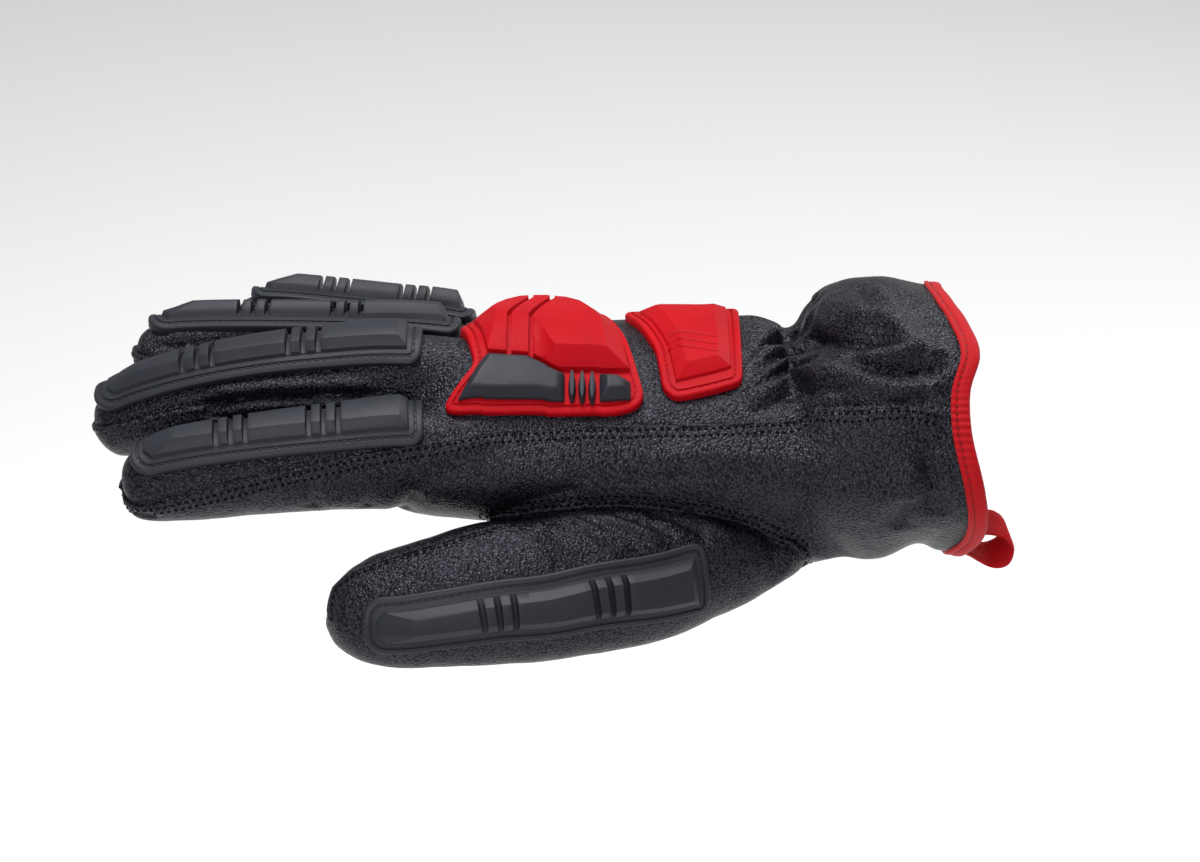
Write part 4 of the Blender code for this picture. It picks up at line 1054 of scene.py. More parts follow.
def cut_panels(skin):
    """Part the skin into its panels, each still an open sheet."""
    whole = bmesh.new()
    whole.from_mesh(skin.data)
    for name in ("rim", "thumb", "seam"):
        cut_along_zero(whole, whole.verts.layers.float[name])
    keep_side(whole, whole.verts.layers.float["rim"], -1)
    cut = mesh_from(whole, "cut_skin")
    sheets = {}
    for panel in SKIN_PANELS:
        shape = bmesh.new()
        shape.from_mesh(cut)
        for name, sign in panel.sides:
            keep_side(shape, shape.verts.layers.float[name], sign)
        largest_part(shape)
        sheets[panel.name] = link(panel.name, mesh_from(shape, panel.name))
    bpy.data.objects.remove(skin, do_unlink=True)
    return sheets


def thicken(sheet, thickness):
    """Turn a sheet into leather of a thickness, inward from its outer face."""
    solid = sheet.modifiers.new("leather", "SOLIDIFY")
    solid.thickness = thickness
    solid.offset = -1
    solid.use_even_offset = False
    bake(sheet)


# Rubber mouldings

def rounded_outline(length, half_width, tip_half_width, rear_radius, tip_radius, turns):
    """A tapered strip with round corners, from x = 0 to x = length, run anticlockwise."""
    corners = [
        (rear_radius, -half_width + rear_radius, rear_radius, 180),
        (length - tip_radius, -tip_half_width + tip_radius, tip_radius, 270),
        (length - tip_radius, tip_half_width - tip_radius, tip_radius, 0),
        (rear_radius, half_width - rear_radius, rear_radius, 90),
    ]
    outline = []
    for x, y, radius, start in corners:
        for turn in np.linspace(0, 90, turns):
            angle = math.radians(start + turn)
            outline.append(Vector((x + radius * math.cos(angle), y + radius * math.sin(angle), 0)))
    return outline


def inset(outline, distance):
    """A closed outline moved inward by a distance."""
    moved = []
    for k, point in enumerate(outline):
        before = (point - outline[k - 1]).normalized()
        after = (outline[(k + 1) % len(outline)] - point).normalized()
        normal_before = Vector((-before.y, before.x, 0))
        normal_after = Vector((-after.y, after.x, 0))
        middle = (normal_before + normal_after).normalized()
        moved.append(point + middle * distance / max(middle.dot(normal_before), 0.5))
    return moved


def lifted(outline, height):
    """An outline at a height."""
    return [Vector((point.x, point.y, height)) for point in outline]


def rounded_corners(outline, radius, steps):
    """An outline with each corner cut back into a short curve."""
    curve = []
    for k, point in enumerate(outline):
        before = outline[k - 1]
        after = outline[(k + 1) % len(outline)]
        reach_before = min(radius, 0.45 * (before - point).length)
        reach_after = min(radius, 0.45 * (after - point).length)
        start = point + (before - point).normalized() * reach_before
        end = point + (after - point).normalized() * reach_after
        for share in np.linspace(0, 1, steps):
            curve.append(start.lerp(point, share).lerp(point.lerp(end, share), share))
    return curve


def join_rings(shape, pairs):
    """Faces of a bmesh between each two rings of vertices."""
    for one, other in pairs:
        for k in range(len(one)):
            following = (k + 1) % len(one)
            shape.faces.new((one[k], one[following], other[following], other[k]))


def channels(name, paths, width, floor, top):
    """Cutters for grooves that follow paths across a guard, a little wider at the top."""
    flare = 0.25 * width
    joined = bmesh.new()
    for path in paths:
        corners = []
        for x, y, *low in path:
            floor_here = low[0] if low else floor
            corners.append([
                joined.verts.new((x - width / 2, y, floor_here)),
                joined.verts.new((x + width / 2, y, floor_here)),
                joined.verts.new((x + width / 2 + flare, y, top)),
                joined.verts.new((x - width / 2 - flare, y, top)),
            ])
        joined.faces.new(corners[0])
        joined.faces.new(corners[-1])
        join_rings(joined, zip(corners, corners[1:]))
    bmesh.ops.recalc_face_normals(joined, faces=joined.faces)
    return link(name, mesh_from(joined, name))


def flange_slab(name, outline):
    """A flange with round edges and a groove near its edge that its stitches lie in."""
    floor = FLANGE_THICKNESS - STITCH_GROOVE_DEPTH
    outer = inset(outline, STITCH_GROOVE_INSET - STITCH_GROOVE_WIDTH / 2)
    inner = inset(outline, STITCH_GROOVE_INSET + STITCH_GROOVE_WIDTH / 2)
    return loft(name, [
        lifted(outline, -SEAT_SINK),
        lifted(outline, 0.6 * FLANGE_THICKNESS),
        lifted(inset(outline, 0.12 * FLANGE_THICKNESS), 0.87 * FLANGE_THICKNESS),
        lifted(inset(outline, 0.35 * FLANGE_THICKNESS), FLANGE_THICKNESS),
        lifted(outer, FLANGE_THICKNESS),
        lifted(outer, floor),
        lifted(inner, floor),
        lifted(inner, FLANGE_THICKNESS),
    ])


def softened(target, width):
    """Round a moulding's edges."""
    bevel = target.modifiers.new("soft_edges", "BEVEL")
    bevel.width = width
    bevel.segments = 3
    bevel.limit_method = "ANGLE"
    bevel.angle_limit = math.radians(24)
    bevel.use_clamp_overlap = True
    bake(target)


def bent(target, wrap):
    """Cut a flat moulding at regular steps, then lay it on a curved surface."""
    shape = bmesh.new()
    shape.from_mesh(target.data)
    for axis, step in ((0, GUARD_STEP_ALONG), (1, GUARD_STEP_ACROSS)):
        lowest = min(vertex.co[axis] for vertex in shape.verts)
        highest = max(vertex.co[axis] for vertex in shape.verts)
        for k in range(math.ceil(lowest / step), math.floor(highest / step) + 1):
            normal = Vector((0, 0, 0))
            normal[axis] = 1
            geometry = shape.verts[:] + shape.edges[:] + shape.faces[:]
            bmesh.ops.bisect_plane(
                shape, geom=geometry, dist=0.01 * MM, plane_co=normal * k * step, plane_no=normal
            )
    for vertex in shape.verts:
        vertex.co = wrap(vertex.co)
    shape.normal_update()
    bmesh.ops.recalc_face_normals(shape, faces=shape.faces)
    shape.to_mesh(target.data)
    shape.free()


def laid(flat, centre, across, backward, half_width, half_depth, roll):
    """A flat point laid on an oval section, y round it from the roll and z off it."""
    angle = roll + flat.y / half_width
    place = centre + across * math.sin(angle) * half_width + backward * math.cos(angle) * half_depth
    normal = across * math.sin(angle) / half_width + backward * math.cos(angle) / half_depth
    return place + normal.normalized() * (SEAT_GAP + flat.z)


def finger_wrap(finger):
    """Lay flat points on the back of a finger."""
    length = finger.length * FINGER_LENGTH

    def wrap(flat):
        along = finger.guard_rear * length + flat.x
        radii = finger_radii(finger, min(along, FULL_SECTION * length))
        return laid(flat, *finger_pose(finger, along), *radii, math.radians(finger.roll))

    return wrap


def thumb_wrap(flat):
    """Lay a flat point on the back of the thumb."""
    along = THUMB_GUARD_REAR * THUMB_LENGTH + flat.x
    radii = thumb_pose(min(along, FULL_SECTION * THUMB_LENGTH))[3:]
    return laid(flat, *thumb_pose(along)[:3], *radii, math.radians(THUMB_GUARD_TURN))


class BackSurface:
    """The back of the hand as a grid of places and normals, one every millimetre."""

    def __init__(self):
        self.first = int(0.36 * HAND_LENGTH / MM)
        self.last = int(0.92 * HAND_LENGTH / MM)
        self.reach = 48
        self.grid = [self.row(along * MM) for along in range(self.first, self.last + 1)]

    def row(self, along):
        """Places and normals across the back at a distance along the hand, from the crest."""
        points, normals = hand_section(along, 4 * HAND_SIDES)
        count = len(points)
        crest = min(range(count), key=lambda k: abs(points[k].y) if points[k].z > 0 else 1.0)
        row = {}
        for step in (-1, 1):
            walked = 0.0
            wanted = 0
            k = crest
            while wanted <= self.reach:
                following = (k + step) % count
                length = (points[following] - points[k]).length
                while wanted <= self.reach and walked + length >= wanted * MM:
                    share = (wanted * MM - walked) / length
                    place = points[k].lerp(points[following], share)
                    row[-step * wanted] = (place, normals[k].lerp(normals[following], share))
                    wanted += 1
                walked += length
                k = following
        return [row[k] for k in range(-self.reach, self.reach + 1)]

    def __call__(self, flat):
        """Lay a flat point on the back: x along the hand, y from the crest, z above it."""
        u = min(max(flat.x / MM - self.first, 0), len(self.grid) - 1.001)
        v = min(max(flat.y / MM + self.reach, 0), 2 * self.reach - 0.001)
        i, j = int(u), int(v)
        s, t = u - i, v - j
        near = [self.grid[i][j], self.grid[i][j + 1], self.grid[i + 1][j], self.grid[i + 1][j + 1]]
        weights = [(1 - s) * (1 - t), (1 - s) * t, s * (1 - t), s * t]
        place = sum((pair[0] * w for pair, w in zip(near, weights)), Vector())
        normal = sum((pair[1] * w for pair, w in zip(near, weights)), Vector())
        return place + normal.normalized() * (SEAT_GAP + flat.z)


def ridge_outline(rear, front, half_rear, half_front, cut):
    """A tapered strip whose two corners at the tip are cut off."""
    return [
        Vector((rear, -half_rear, 0)),
        Vector((front - cut, -half_front, 0)),
        Vector((front, -half_front + cut, 0)),
        Vector((front, half_front - cut, 0)),
        Vector((front - cut, half_front, 0)),
        Vector((rear, half_rear, 0)),
    ]


def strip_guard(name, length, width, tip_width, groove_shares, wrap):
    """A finger guard: stitched flange, bevelled ridge and two groups of three cross grooves."""
    height = GUARD_HEIGHTS[name.split("_")[0]]
    flange = rounded_outline(length, width / 2, tip_width / 2, FLANGE_MARGIN, GUARD_TIP_RADIUS, 7)
    guard = flange_slab(name, flange)
    half_rear = width / 2 - FLANGE_MARGIN
    half_front = tip_width / 2 - FLANGE_MARGIN
    rear = FLANGE_MARGIN
    front = length - FLANGE_MARGIN
    base = ridge_outline(rear, front, half_rear, half_front, RIDGE_TIP_CUT)
    top = ridge_outline(
        rear + FINGER_BEVEL, front - RIDGE_SLOPE * FINGER_BEVEL,
        half_rear - FINGER_BEVEL, half_front - FINGER_BEVEL, 0.3 * RIDGE_TIP_CUT,
    )
    sill = FLANGE_THICKNESS + 0.35 * (height - FLANGE_THICKNESS)
    ridge = loft("ridge", [
        lifted(base, FLANGE_THICKNESS / 2),
        lifted(inset(base, 0.25 * FINGER_BEVEL), sill),
        lifted(top, height),
    ])
    combine(guard, ridge, "UNION")
    places = [
        share * length + step * CROSS_GROOVE_PITCH
        for share in groove_shares
        for step in (-1, 0, 1)
    ]
    reach = width / 2 - 0.8 * FLANGE_MARGIN
    paths = [[(x, -reach), (x, reach)] for x in places]
    floor = FLANGE_THICKNESS + 0.12 * (height - FLANGE_THICKNESS)
    cutter = channels("grooves", paths, CROSS_GROOVE_WIDTH, floor, 2 * height)
    combine(guard, cutter, "DIFFERENCE")
    softened(guard, GUARD_EDGE)
    bent(guard, wrap)
    return guard, flange


def plate_outline(points, rear, length, span):
    """A plate's outline in flat space, run anticlockwise."""
    return [Vector((rear + point.along * length, point.across * span / 2, 0)) for point in points[::-1]]


def knuckle_outline(points):
    """An outline of the knuckle guard or of its insert in flat space."""
    rear = KNUCKLE_GUARD_REAR * HAND_LENGTH
    return plate_outline(points, rear, KNUCKLE_GUARD_LENGTH, KNUCKLE_GUARD_SPAN)


def plate(name, outline, body, top, height, grooves, wrap):
    """A plate on the back of the hand: a flange with a raised body that slopes up to its top."""
    flange = rounded_corners(outline, PLATE_CORNER, 5)
    made = flange_slab(name, flange)
    sill = FLANGE_THICKNESS + 0.3 * (height - FLANGE_THICKNESS)
    raised = loft("body", [
        lifted(body, FLANGE_THICKNESS / 2),
        lifted(inset(body, 0.1 * PLATE_BEVEL), sill),
        lifted(top, height),
    ])
    combine(made, raised, "UNION")
    if grooves:
        cutter = channels("grooves", grooves, BODY_GROOVE_WIDTH, height - BODY_GROOVE_DEPTH, 2 * height)
        combine(made, cutter, "DIFFERENCE")
    softened(made, PLATE_EDGE)
    bent(made, wrap)
    return made, flange


def knuckle_place(point):
    """A point of the knuckle guard's plan in flat space."""
    rear = KNUCKLE_GUARD_REAR * HAND_LENGTH
    return rear + point.along * KNUCKLE_GUARD_LENGTH, point.across * KNUCKLE_GUARD_SPAN / 2


def insert_block(name, outline, wrap):
    """One block of the knuckle guard's insert, seated on the flange."""
    foot = FLANGE_THICKNESS - INSERT_SINK
    block = loft(name, [
        lifted(outline, foot),
        lifted(outline, foot + 0.35 * INSERT_HEIGHT),
        lifted(inset(outline, INSERT_BEVEL), foot + INSERT_HEIGHT),
    ])
    softened(block, INSERT_EDGE)
    bent(block, wrap)
    return block


def insert_fin(name, share, wrap):
    """One lens-shaped fin of the insert."""
    foot = FLANGE_THICKNESS - INSERT_SINK
    half = INSERT_FIN_WIDTH * KNUCKLE_GUARD_LENGTH / 2
    place, low = knuckle_place(PlatePoint(share, INSERT_FIN_LOW))
    place, high = knuckle_place(PlatePoint(share, INSERT_FIN_HIGH))
    middle = (low + high) / 2
    outline = []
    crest = []
    for side, turn, reach in (
        (-1, 72, -1.0), (1, 72, -1.0), (1, 40, -0.6), (1, 0, 0.0), (1, 40, 0.6),
        (1, 72, 1.0), (-1, 72, 1.0), (-1, 40, 0.6), (-1, 0, 0.0), (-1, 40, -0.6),
    ):
        across = half * side * math.cos(math.radians(turn)) ** 0.7
        point = Vector((place + across, middle + (high - low) / 2 * reach, 0))
        outline.append(point)
        crest.append(Vector((point.x + 0.45 * (place - point.x), point.y + 0.12 * (middle - point.y), 0)))
    fin = loft(name, [lifted(outline, foot), lifted(crest, foot + 0.85 * INSERT_HEIGHT)])
    softened(fin, FIN_EDGE)
    bent(fin, wrap)
    return fin


# Cuff trim

def rim_ring(beyond, offset):
    """Points round the cuff, past its rim and off the leather, with the rim's waves."""
    points, normals = hand_section(max(-beyond, 0), BINDING_STATIONS)
    ahead = Vector((max(beyond, 0), 0, 0))
    return rim_waved(np.array([tuple(p + n * offset + ahead) for p, n in zip(points, normals)]))


def cuff_binding():
    """A folded strip that wraps the cuff edge all round."""
    inside = -LEATHER
    thick = BINDING_THICKNESS
    profile = [
        (-BINDING_WIDTH, -0.1 * MM),
        (-BINDING_WIDTH, 0.55 * thick),
        (-BINDING_WIDTH + 0.25 * MM, 0.9 * thick),
        (-BINDING_WIDTH + 0.7 * MM, thick),
        (-0.75 * BINDING_WIDTH, 1.05 * thick),
        (-BINDING_SEAM - 0.3 * MM, 0.9 * thick),
        (-BINDING_SEAM, 0.6 * thick),
        (-BINDING_SEAM + 0.3 * MM, 0.9 * thick),
        (-0.3 * BINDING_WIDTH, 1.15 * thick),
        (0, 1.1 * thick),
        (0.6 * thick, 0.9 * thick),
        (1.15 * thick, 0.3 * thick),
        (1.3 * thick, 0.5 * inside),
        (1.15 * thick, inside - 0.3 * thick),
        (0.6 * thick, inside - 0.9 * thick),
        (0, inside - 1.1 * thick),
        (-0.5 * BINDING_INNER_WIDTH, inside - thick),
        (-BINDING_INNER_WIDTH, inside - 0.8 * thick),
        (-BINDING_INNER_WIDTH, inside + 0.1 * MM),
        (-0.5 * BINDING_INNER_WIDTH, 0.5 * inside),
    ]
    rings = [rim_ring(beyond, offset) for beyond, offset in profile]
    for ring, (_, offset) in zip(rings, profile):
        turns = turn_angles(ring)
        near = swell(turns, GATHER_TURN, GATHER_SPREAD) * (offset > 0.5 * thick)
        wave = np.sin(np.radians(360 / GATHER_PITCH) * turns)
        ring[:, 1:] *= 1 + GATHER_DEPTH * (near * wave)[:, None]
    profiles = [[Vector(ring[k]) for ring in rings] for k in range(BINDING_STATIONS)]
    return closed_sweep("binding", profiles)


def loop_station(beyond, height, turn):
    """Centre, across direction and crown of the loop's webbing at a place on its run."""
    sides = 26
    points, normals = hand_section(0, sides)
    side = int(LOOP_PLACE * sides)
    share = LOOP_PLACE * sides - side
    along_rim = (points[side + 1] - points[side]).normalized()
    normal = normals[side].lerp(normals[side + 1], share).normalized()
    across = along_rim.lerp(Vector(LOOP_SLANT), turn).normalized() * LOOP_WIDTH
    centre = points[side].lerp(points[side + 1], share) + normal * height + Vector((beyond, 0, 0))
    return centre, across, normal * LOOP_CROWN * (1 - turn)


def pull_loop():
    """A loop of ribbed webbing that straddles the cuff edge and stands out past it."""
    fold = 0.3 * MM + 1.0 * MM
    outer = fold + 0.4 * MM
    inner = -LEATHER - fold - 0.6 * MM
    middle = (outer + inner) / 2
    half = LOOP_HEIGHT / 2
    reach = fold + LOOP_LENGTH
    run = [
        (-LOOP_TAIL, outer, 0.0),
        (fold, outer, 0.0),
        (reach - 1.3 * half, middle + half, 0.7),
        (reach - 0.35 * half, middle + 0.75 * half, 1.0),
        (reach, middle, 1.0),
        (reach - 0.35 * half, middle - 0.75 * half, 1.0),
        (reach - 1.3 * half, middle - half, 0.7),
        (fold, inner, 0.0),
        (-LOOP_TAIL, inner, 0.0),
    ]
    knots = [Vector(station) for station in run]
    ends = [2 * knots[0] - knots[1], *knots, 2 * knots[-1] - knots[-2]]
    samples = []
    for k in range(len(knots) - 1):
        for share in np.linspace(0, 1, 60, endpoint=False):
            samples.append(catmull(*ends[k:k + 4], share))
    samples.append(knots[-1])
    walked = [0.0]
    for one, other in zip(samples, samples[1:]):
        walked.append(walked[-1] + (other.xy - one.xy).length)
    rings = []
    for distance in np.arange(0, walked[-1], LOOP_RIB_PITCH / 6):
        k = min(bisect_right(walked, distance) - 1, len(samples) - 2)
        share = (distance - walked[k]) / (walked[k + 1] - walked[k])
        station = samples[k].lerp(samples[k + 1], share)
        travel = (samples[k + 1].xy - samples[k].xy).normalized()
        out = Vector((-travel.y, travel.x))
        rib = LOOP_RIB_DEPTH * math.cos(2 * math.pi * distance / LOOP_RIB_PITCH)
        ring = []
        for height, order in ((0.0, 1), (LOOP_THICKNESS, -1)):
            bulge = rib if height else -rib
            centre, across, crown = loop_station(*(station.xy + out * (height + bulge)), station.z)
            shares = [-0.5, -0.47, -0.4, -0.2, 0, 0.2, 0.4, 0.47, 0.5]
            for s in shares[::order]:
                edge = 1 - smooth_step(0.4, 0.5, abs(s)) * 0.8
                flat, _, _ = loop_station(*(station.xy + out * (LOOP_THICKNESS / 2)), station.z)
                place = flat.lerp(centre, float(edge))
                ring.append(place + across * s - crown * (2 * s) ** 2)
        rings.append(ring)
    return loft("webbing", rings)


# Stitches

def feed(tree, node, inputs):
    """Give a node's inputs their values, or the sockets that feed them."""
    for name, value in inputs.items():
        if isinstance(value, bpy.types.NodeSocket):
            tree.links.new(value, node.inputs[name])
        else:
            node.inputs[name].default_value = value


def add_node(tree, kind, inputs=None, **settings):
    """A new node of a tree, with its settings and its inputs."""
    node = tree.nodes.new(kind)
    for name, value in settings.items():
        setattr(node, name, value)
    feed(tree, node, inputs or {})
    return node


def stitch_tree(finish):
    """Geometry Nodes that lay one rounded stitch on every point they are given."""
    tree = bpy.data.node_groups.new("stitches", "GeometryNodeTree")
    tree.interface.new_socket("Points", in_out="INPUT", socket_type="NodeSocketGeometry")
    for name, value in zip(("Length", "Width", "Height"), GUARD_STITCH):
        socket = tree.interface.new_socket(name, in_out="INPUT", socket_type="NodeSocketFloat")
        socket.default_value = value
        socket.subtype = "DISTANCE"
    tree.interface.new_socket("Stitches", in_out="OUTPUT", socket_type="NodeSocketGeometry")
    given = add_node(tree, "NodeGroupInput").outputs
    ball = add_node(tree, "GeometryNodeMeshUVSphere", {"Segments": 8, "Rings": 5, "Radius": 0.5})
    size = {"X": given["Length"], "Y": given["Width"], "Z": given["Height"]}
    sizes = add_node(tree, "ShaderNodeCombineXYZ", size)
    shaped = add_node(tree, "GeometryNodeTransform", {
        "Geometry": ball.outputs["Mesh"], "Scale": sizes.outputs["Vector"],
    })
    run, face = [
        add_node(tree, "GeometryNodeInputNamedAttribute", {"Name": name}, data_type="FLOAT_VECTOR")
        for name in ("run", "face")
    ]
    along = add_node(tree, "FunctionNodeAlignRotationToVector", {
        "Vector": run.outputs["Attribute"],
    }, axis="X")
    upright = add_node(tree, "FunctionNodeAlignRotationToVector", {
        "Rotation": along.outputs["Rotation"], "Vector": face.outputs["Attribute"],
    }, axis="Z", pivot_axis="X")
    placed = add_node(tree, "GeometryNodeInstanceOnPoints", {
        "Points": given["Points"], "Instance": shaped.outputs["Geometry"],
        "Rotation": upright.outputs["Rotation"],
    })
    real = add_node(tree, "GeometryNodeRealizeInstances", {"Geometry": placed.outputs["Instances"]})
    smooth = add_node(tree, "GeometryNodeSetShadeSmooth", {"Geometry": real.outputs["Geometry"]})
    thread = add_node(tree, "GeometryNodeSetMaterial", {
        "Geometry": smooth.outputs["Geometry"], "Material": finish,
    })
    add_node(tree, "NodeGroupOutput", {"Stitches": thread.outputs["Geometry"]})
    return tree


def unit_rows(rows):
    """An array's rows, each at length one."""
    return rows / np.maximum(np.linalg.norm(rows, axis=1), 1e-9)[:, None]


def nearest(tree, points):
    """The places on a surface nearest to points, with the surface's normals there."""
    hits = [tree.find_nearest(Vector(point)) for point in points]
    return np.array([tuple(hit[0]) for hit in hits]), np.array([tuple(hit[1]) for hit in hits])


def spaced(path, pitch, closed):
    """Points at an even pitch along a path, with the direction of the path there."""
    path = np.asarray(path)
    if closed:
        path = np.vstack([path, path[:1]])
    walked = np.concatenate([[0], np.cumsum(np.linalg.norm(np.diff(path, axis=0), axis=1))])
    count = max(int(walked[-1] / pitch), 1)
    places = (np.arange(count) + 0.5) * walked[-1] / count
    ahead = 0.4 * pitch
    points, later, sooner = [
        np.stack([np.interp(at, walked, path[:, i]) for i in range(3)], axis=1)
        for at in (places, places + ahead, places - ahead)
    ]
    return points, unit_rows(later - sooner)


def sew(name, rows, finish, size):
    """Lay stitches at points with directions and surface normals, as one mesh."""
    points = np.vstack([row[0] for row in rows])
    mesh = bpy.data.meshes.new(name)
    mesh.from_pydata(points.tolist(), [], [])
    for attribute, index in (("run", 1), ("face", 2)):
        layer = mesh.attributes.new(attribute, "FLOAT_VECTOR", "POINT")
        layer.data.foreach_set("vector", np.vstack([row[index] for row in rows]).ravel())
    seam = link(name, mesh)
    tree = stitch_tree(finish)
    modifier = seam.modifiers.new("stitches", "NODES")
    modifier.node_group = tree
    sizes = dict(zip(("Length", "Width", "Height"), size))
    for item in tree.interface.items_tree:
        if item.name in sizes:
            modifier[item.identifier] = sizes[item.name]
    bake(seam)
    dress(seam, finish, None)


def smoothed(path, window):
    """A closed path with its jags averaged out."""
    around = np.vstack([path[-window:], path, path[:window]])
    weights = np.hanning(2 * window + 3)[1:-1]
    weights /= weights.sum()
    return np.stack([np.convolve(around[:, i], weights, "valid") for i in range(3)], axis=1)


def stretches(points, normals, chosen):
    """The stretches of a run where a choice holds, but for the shortest."""
    found = []
    current = []
    for k, wanted in enumerate([*chosen, False]):
        if wanted:
            current.append(k)
        elif current:
            if len(current) > SHORTEST_RUN:
                found.append((points[current], normals[current], False))
            current = []
    return found


def seam_runs(tree, path):
    """The parts of a panel's edge that lie on a seam: points and normals on the leather."""
    points, _ = spaced(path, RUN_STEP, True)
    places, normals = nearest(tree, smoothed(points, 5))
    normals = unit_rows(smoothed(normals, 4))
    ahead, _ = rim_shift(turn_angles(places))
    past = rim_values(places) - ahead * (1 - smooth_step(0, RIM_REACH, -places[:, 0]))
    kept = past < -1.15 * BINDING_WIDTH
    if kept.all():
        return [(places, normals, True)]
    shift = -int(np.flatnonzero(~kept)[0])
    return stretches(*(np.roll(each, shift, axis=0) for each in (places, normals, kept)))


def between_fingers(points):
    """Which points lie on the inner sides of the fingers, where the seam shows as a welt."""
    inner = np.zeros(len(points), bool)
    for k, point in enumerate(points):
        if -point[0] < 0.83 * HAND_LENGTH:
            continue
        ends = []
        for finger in (FINGER_ROWS[0], FINGER_ROWS[-1]):
            along = min(max(-point[0] - finger.start * HAND_LENGTH, 0), finger.length * FINGER_LENGTH)
            ends.append(finger_pose(finger, along)[0].y)
        inner[k] = ends[0] < point[1] < ends[1]
    return inner


def path_run(tree, pixels):
    """A path drawn on the photograph as a run of evenly spaced points on a surface."""
    points, _ = spaced(path_on_skin(tree, pixels), RUN_STEP, False)
    return *nearest(tree, points), False


def bead(name, runs, width, height, aside):
    """A rounded strip of leather along runs on a surface, shifted to the left of their course."""
    shapes = bmesh.new()
    for points, normals, closed in runs:
        ahead = np.roll(points, -1, axis=0) - np.roll(points, 1, axis=0)
        if not closed:
            ahead[0] = points[1] - points[0]
            ahead[-1] = points[-1] - points[-2]
        across = unit_rows(np.cross(normals, ahead))
        centres = points + across * aside
        rings = []
        for k in range(len(points)):
            ring = []
            for turn in range(BEAD_SIDES):
                angle = 2 * math.pi * turn / BEAD_SIDES
                place = centres[k] + across[k] * math.cos(angle) * width / 2
                place = place + normals[k] * math.sin(angle) * height
                ring.append(shapes.verts.new(place))
            rings.append(ring)
        pairs = list(zip(rings, rings[1:])) + ([(rings[-1], rings[0])] if closed else [])
        join_rings(shapes, pairs)
        if not closed:
            shapes.faces.new(rings[0])
            shapes.faces.new(rings[-1])
    bmesh.ops.recalc_face_normals(shapes, faces=shapes.faces)
    return link(name, mesh_from(shapes, name))


def rows_beside(tree, run, side_shift, pitch):
    """Stitch places beside a run on a surface, shifted to the left of its course."""
    points, normals, closed = run
    ahead = np.roll(points, -1, axis=0) - np.roll(points, 1, axis=0)
    beside = points
    for _ in range(WALK_STEPS):
        across = unit_rows(np.cross(normals, ahead))
        beside, normals = nearest(tree, beside + across * side_shift / WALK_STEPS)
        normals = smoothed(normals, 4)
    beside = smoothed(beside, 3)
    if not closed:
        beside = beside[4:-4]
    places, directions, faces = [], [], []
    spots, courses = spaced(beside, pitch, closed)
    for spot, course in zip(spots, courses):
        hit, normal, _, distance = tree.find_nearest(Vector(spot))
        if hit is None or distance > 2 * MM:
            continue
        places.append(tuple(hit + normal * STITCH_LIFT))
        directions.append(tuple(course))
        faces.append(tuple(normal))
    return np.array(places), np.array(directions), np.array(faces)


# Materials

def new_material(name):
    """A node material, with its tree and its shader."""
    made = bpy.data.materials.new(name)
    made.use_nodes = True
    return made, made.node_tree, made.node_tree.nodes["Principled BSDF"]


def own_place(tree):
    """The socket with a point's place in the object's own coordinates."""
    return add_node(tree, "ShaderNodeTexCoord").outputs["Object"]


def noise_on(tree, place, scale, detail):
    """The socket with a noise texture's value."""
    inputs = {"Vector": place, "Scale": scale, "Detail": detail}
    return add_node(tree, "ShaderNodeTexNoise", inputs).outputs["Fac"]


def bump_on(tree, height, strength, depth, under=None, invert=False):
    """The socket with the normal of a surface that a texture's heights stand on."""
    inputs = {"Height": height, "Strength": strength, "Distance": depth}
    if under:
        inputs["Normal"] = under
    return add_node(tree, "ShaderNodeBump", inputs, invert=invert).outputs["Normal"]


def mapped(tree, value, low, high, start=0.0, end=1.0):
    """A value from start to end turned into one from low to high."""
    inputs = {"Value": value, "From Min": start, "From Max": end, "To Min": low, "To Max": high}
    return add_node(tree, "ShaderNodeMapRange", inputs).outputs["Result"]


def shaded(tree, value, colour, low, dark, high, light):
    """A colour that goes from a darker to a lighter shade as a value goes from low to high."""
    ramp = add_node(tree, "ShaderNodeValToRGB", {"Fac": value})
    for stop, place, share in zip(ramp.color_ramp.elements, (low, high), (dark, light)):
        stop.position = place
        stop.color = (*(share * c for c in colour), 1)
    return ramp.outputs["Color"]


def leather_material(colour, grain):
    """Pebbled goatskin: cells of grain with fine pores, a gloss that varies, a tone that varies at random,
    and painted light and shade on the grain.
    """
    made, tree, shader = new_material("black_goatskin")
    place = own_place(tree)
    warp = add_node(tree, "ShaderNodeTexNoise", {"Vector": place, "Scale": 0.35 / grain, "Detail": 2})
    mixed = add_node(tree, "ShaderNodeMix", {
        "Factor": 0.0015, "A": place, "B": warp.outputs["Color"],
    }, data_type="VECTOR")
    cells = add_node(tree, "ShaderNodeTexVoronoi", {
        "Vector": mixed.outputs["Result"], "Scale": 1 / grain, "Smoothness": 0.35, "Randomness": 1.0,
    }, feature="SMOOTH_F1").outputs["Distance"]
    fine = noise_on(tree, place, 3 / grain, 3)
    broad = noise_on(tree, place, 0.06 / grain, 3)
    pebble = bump_on(tree, cells, 1.0, 0.34 * MM, invert=True)
    # Base colour: a random tone times a factor from the grain's cells. It is lighter on the pebbles' tops
    # and darker in the pits between them, which is painted light and painted shade.
    tone_and_pit_shade = add_node(tree, "ShaderNodeMix", {
        "Factor": 1.0,
        "A": shaded(tree, broad, colour, 0.35, 0.7, 0.7, 1.35),
        "B": mapped(tree, cells, 1.8, 0.2, 0.15, 0.75),
    }, data_type="RGBA", blend_type="MULTIPLY")
    feed(tree, shader, {
        "Normal": bump_on(tree, fine, 0.35, 0.08 * MM, under=pebble),
        "Base Color": tone_and_pit_shade.outputs["Result"],
        "Roughness": mapped(tree, broad, 0.28, 0.46),
        "Specular IOR Level": mapped(tree, cells, 0.5, 0.2, 0.15, 0.7),
        "Specular Tint": (0.84, 0.86, 1.0, 1),
    })
    return made


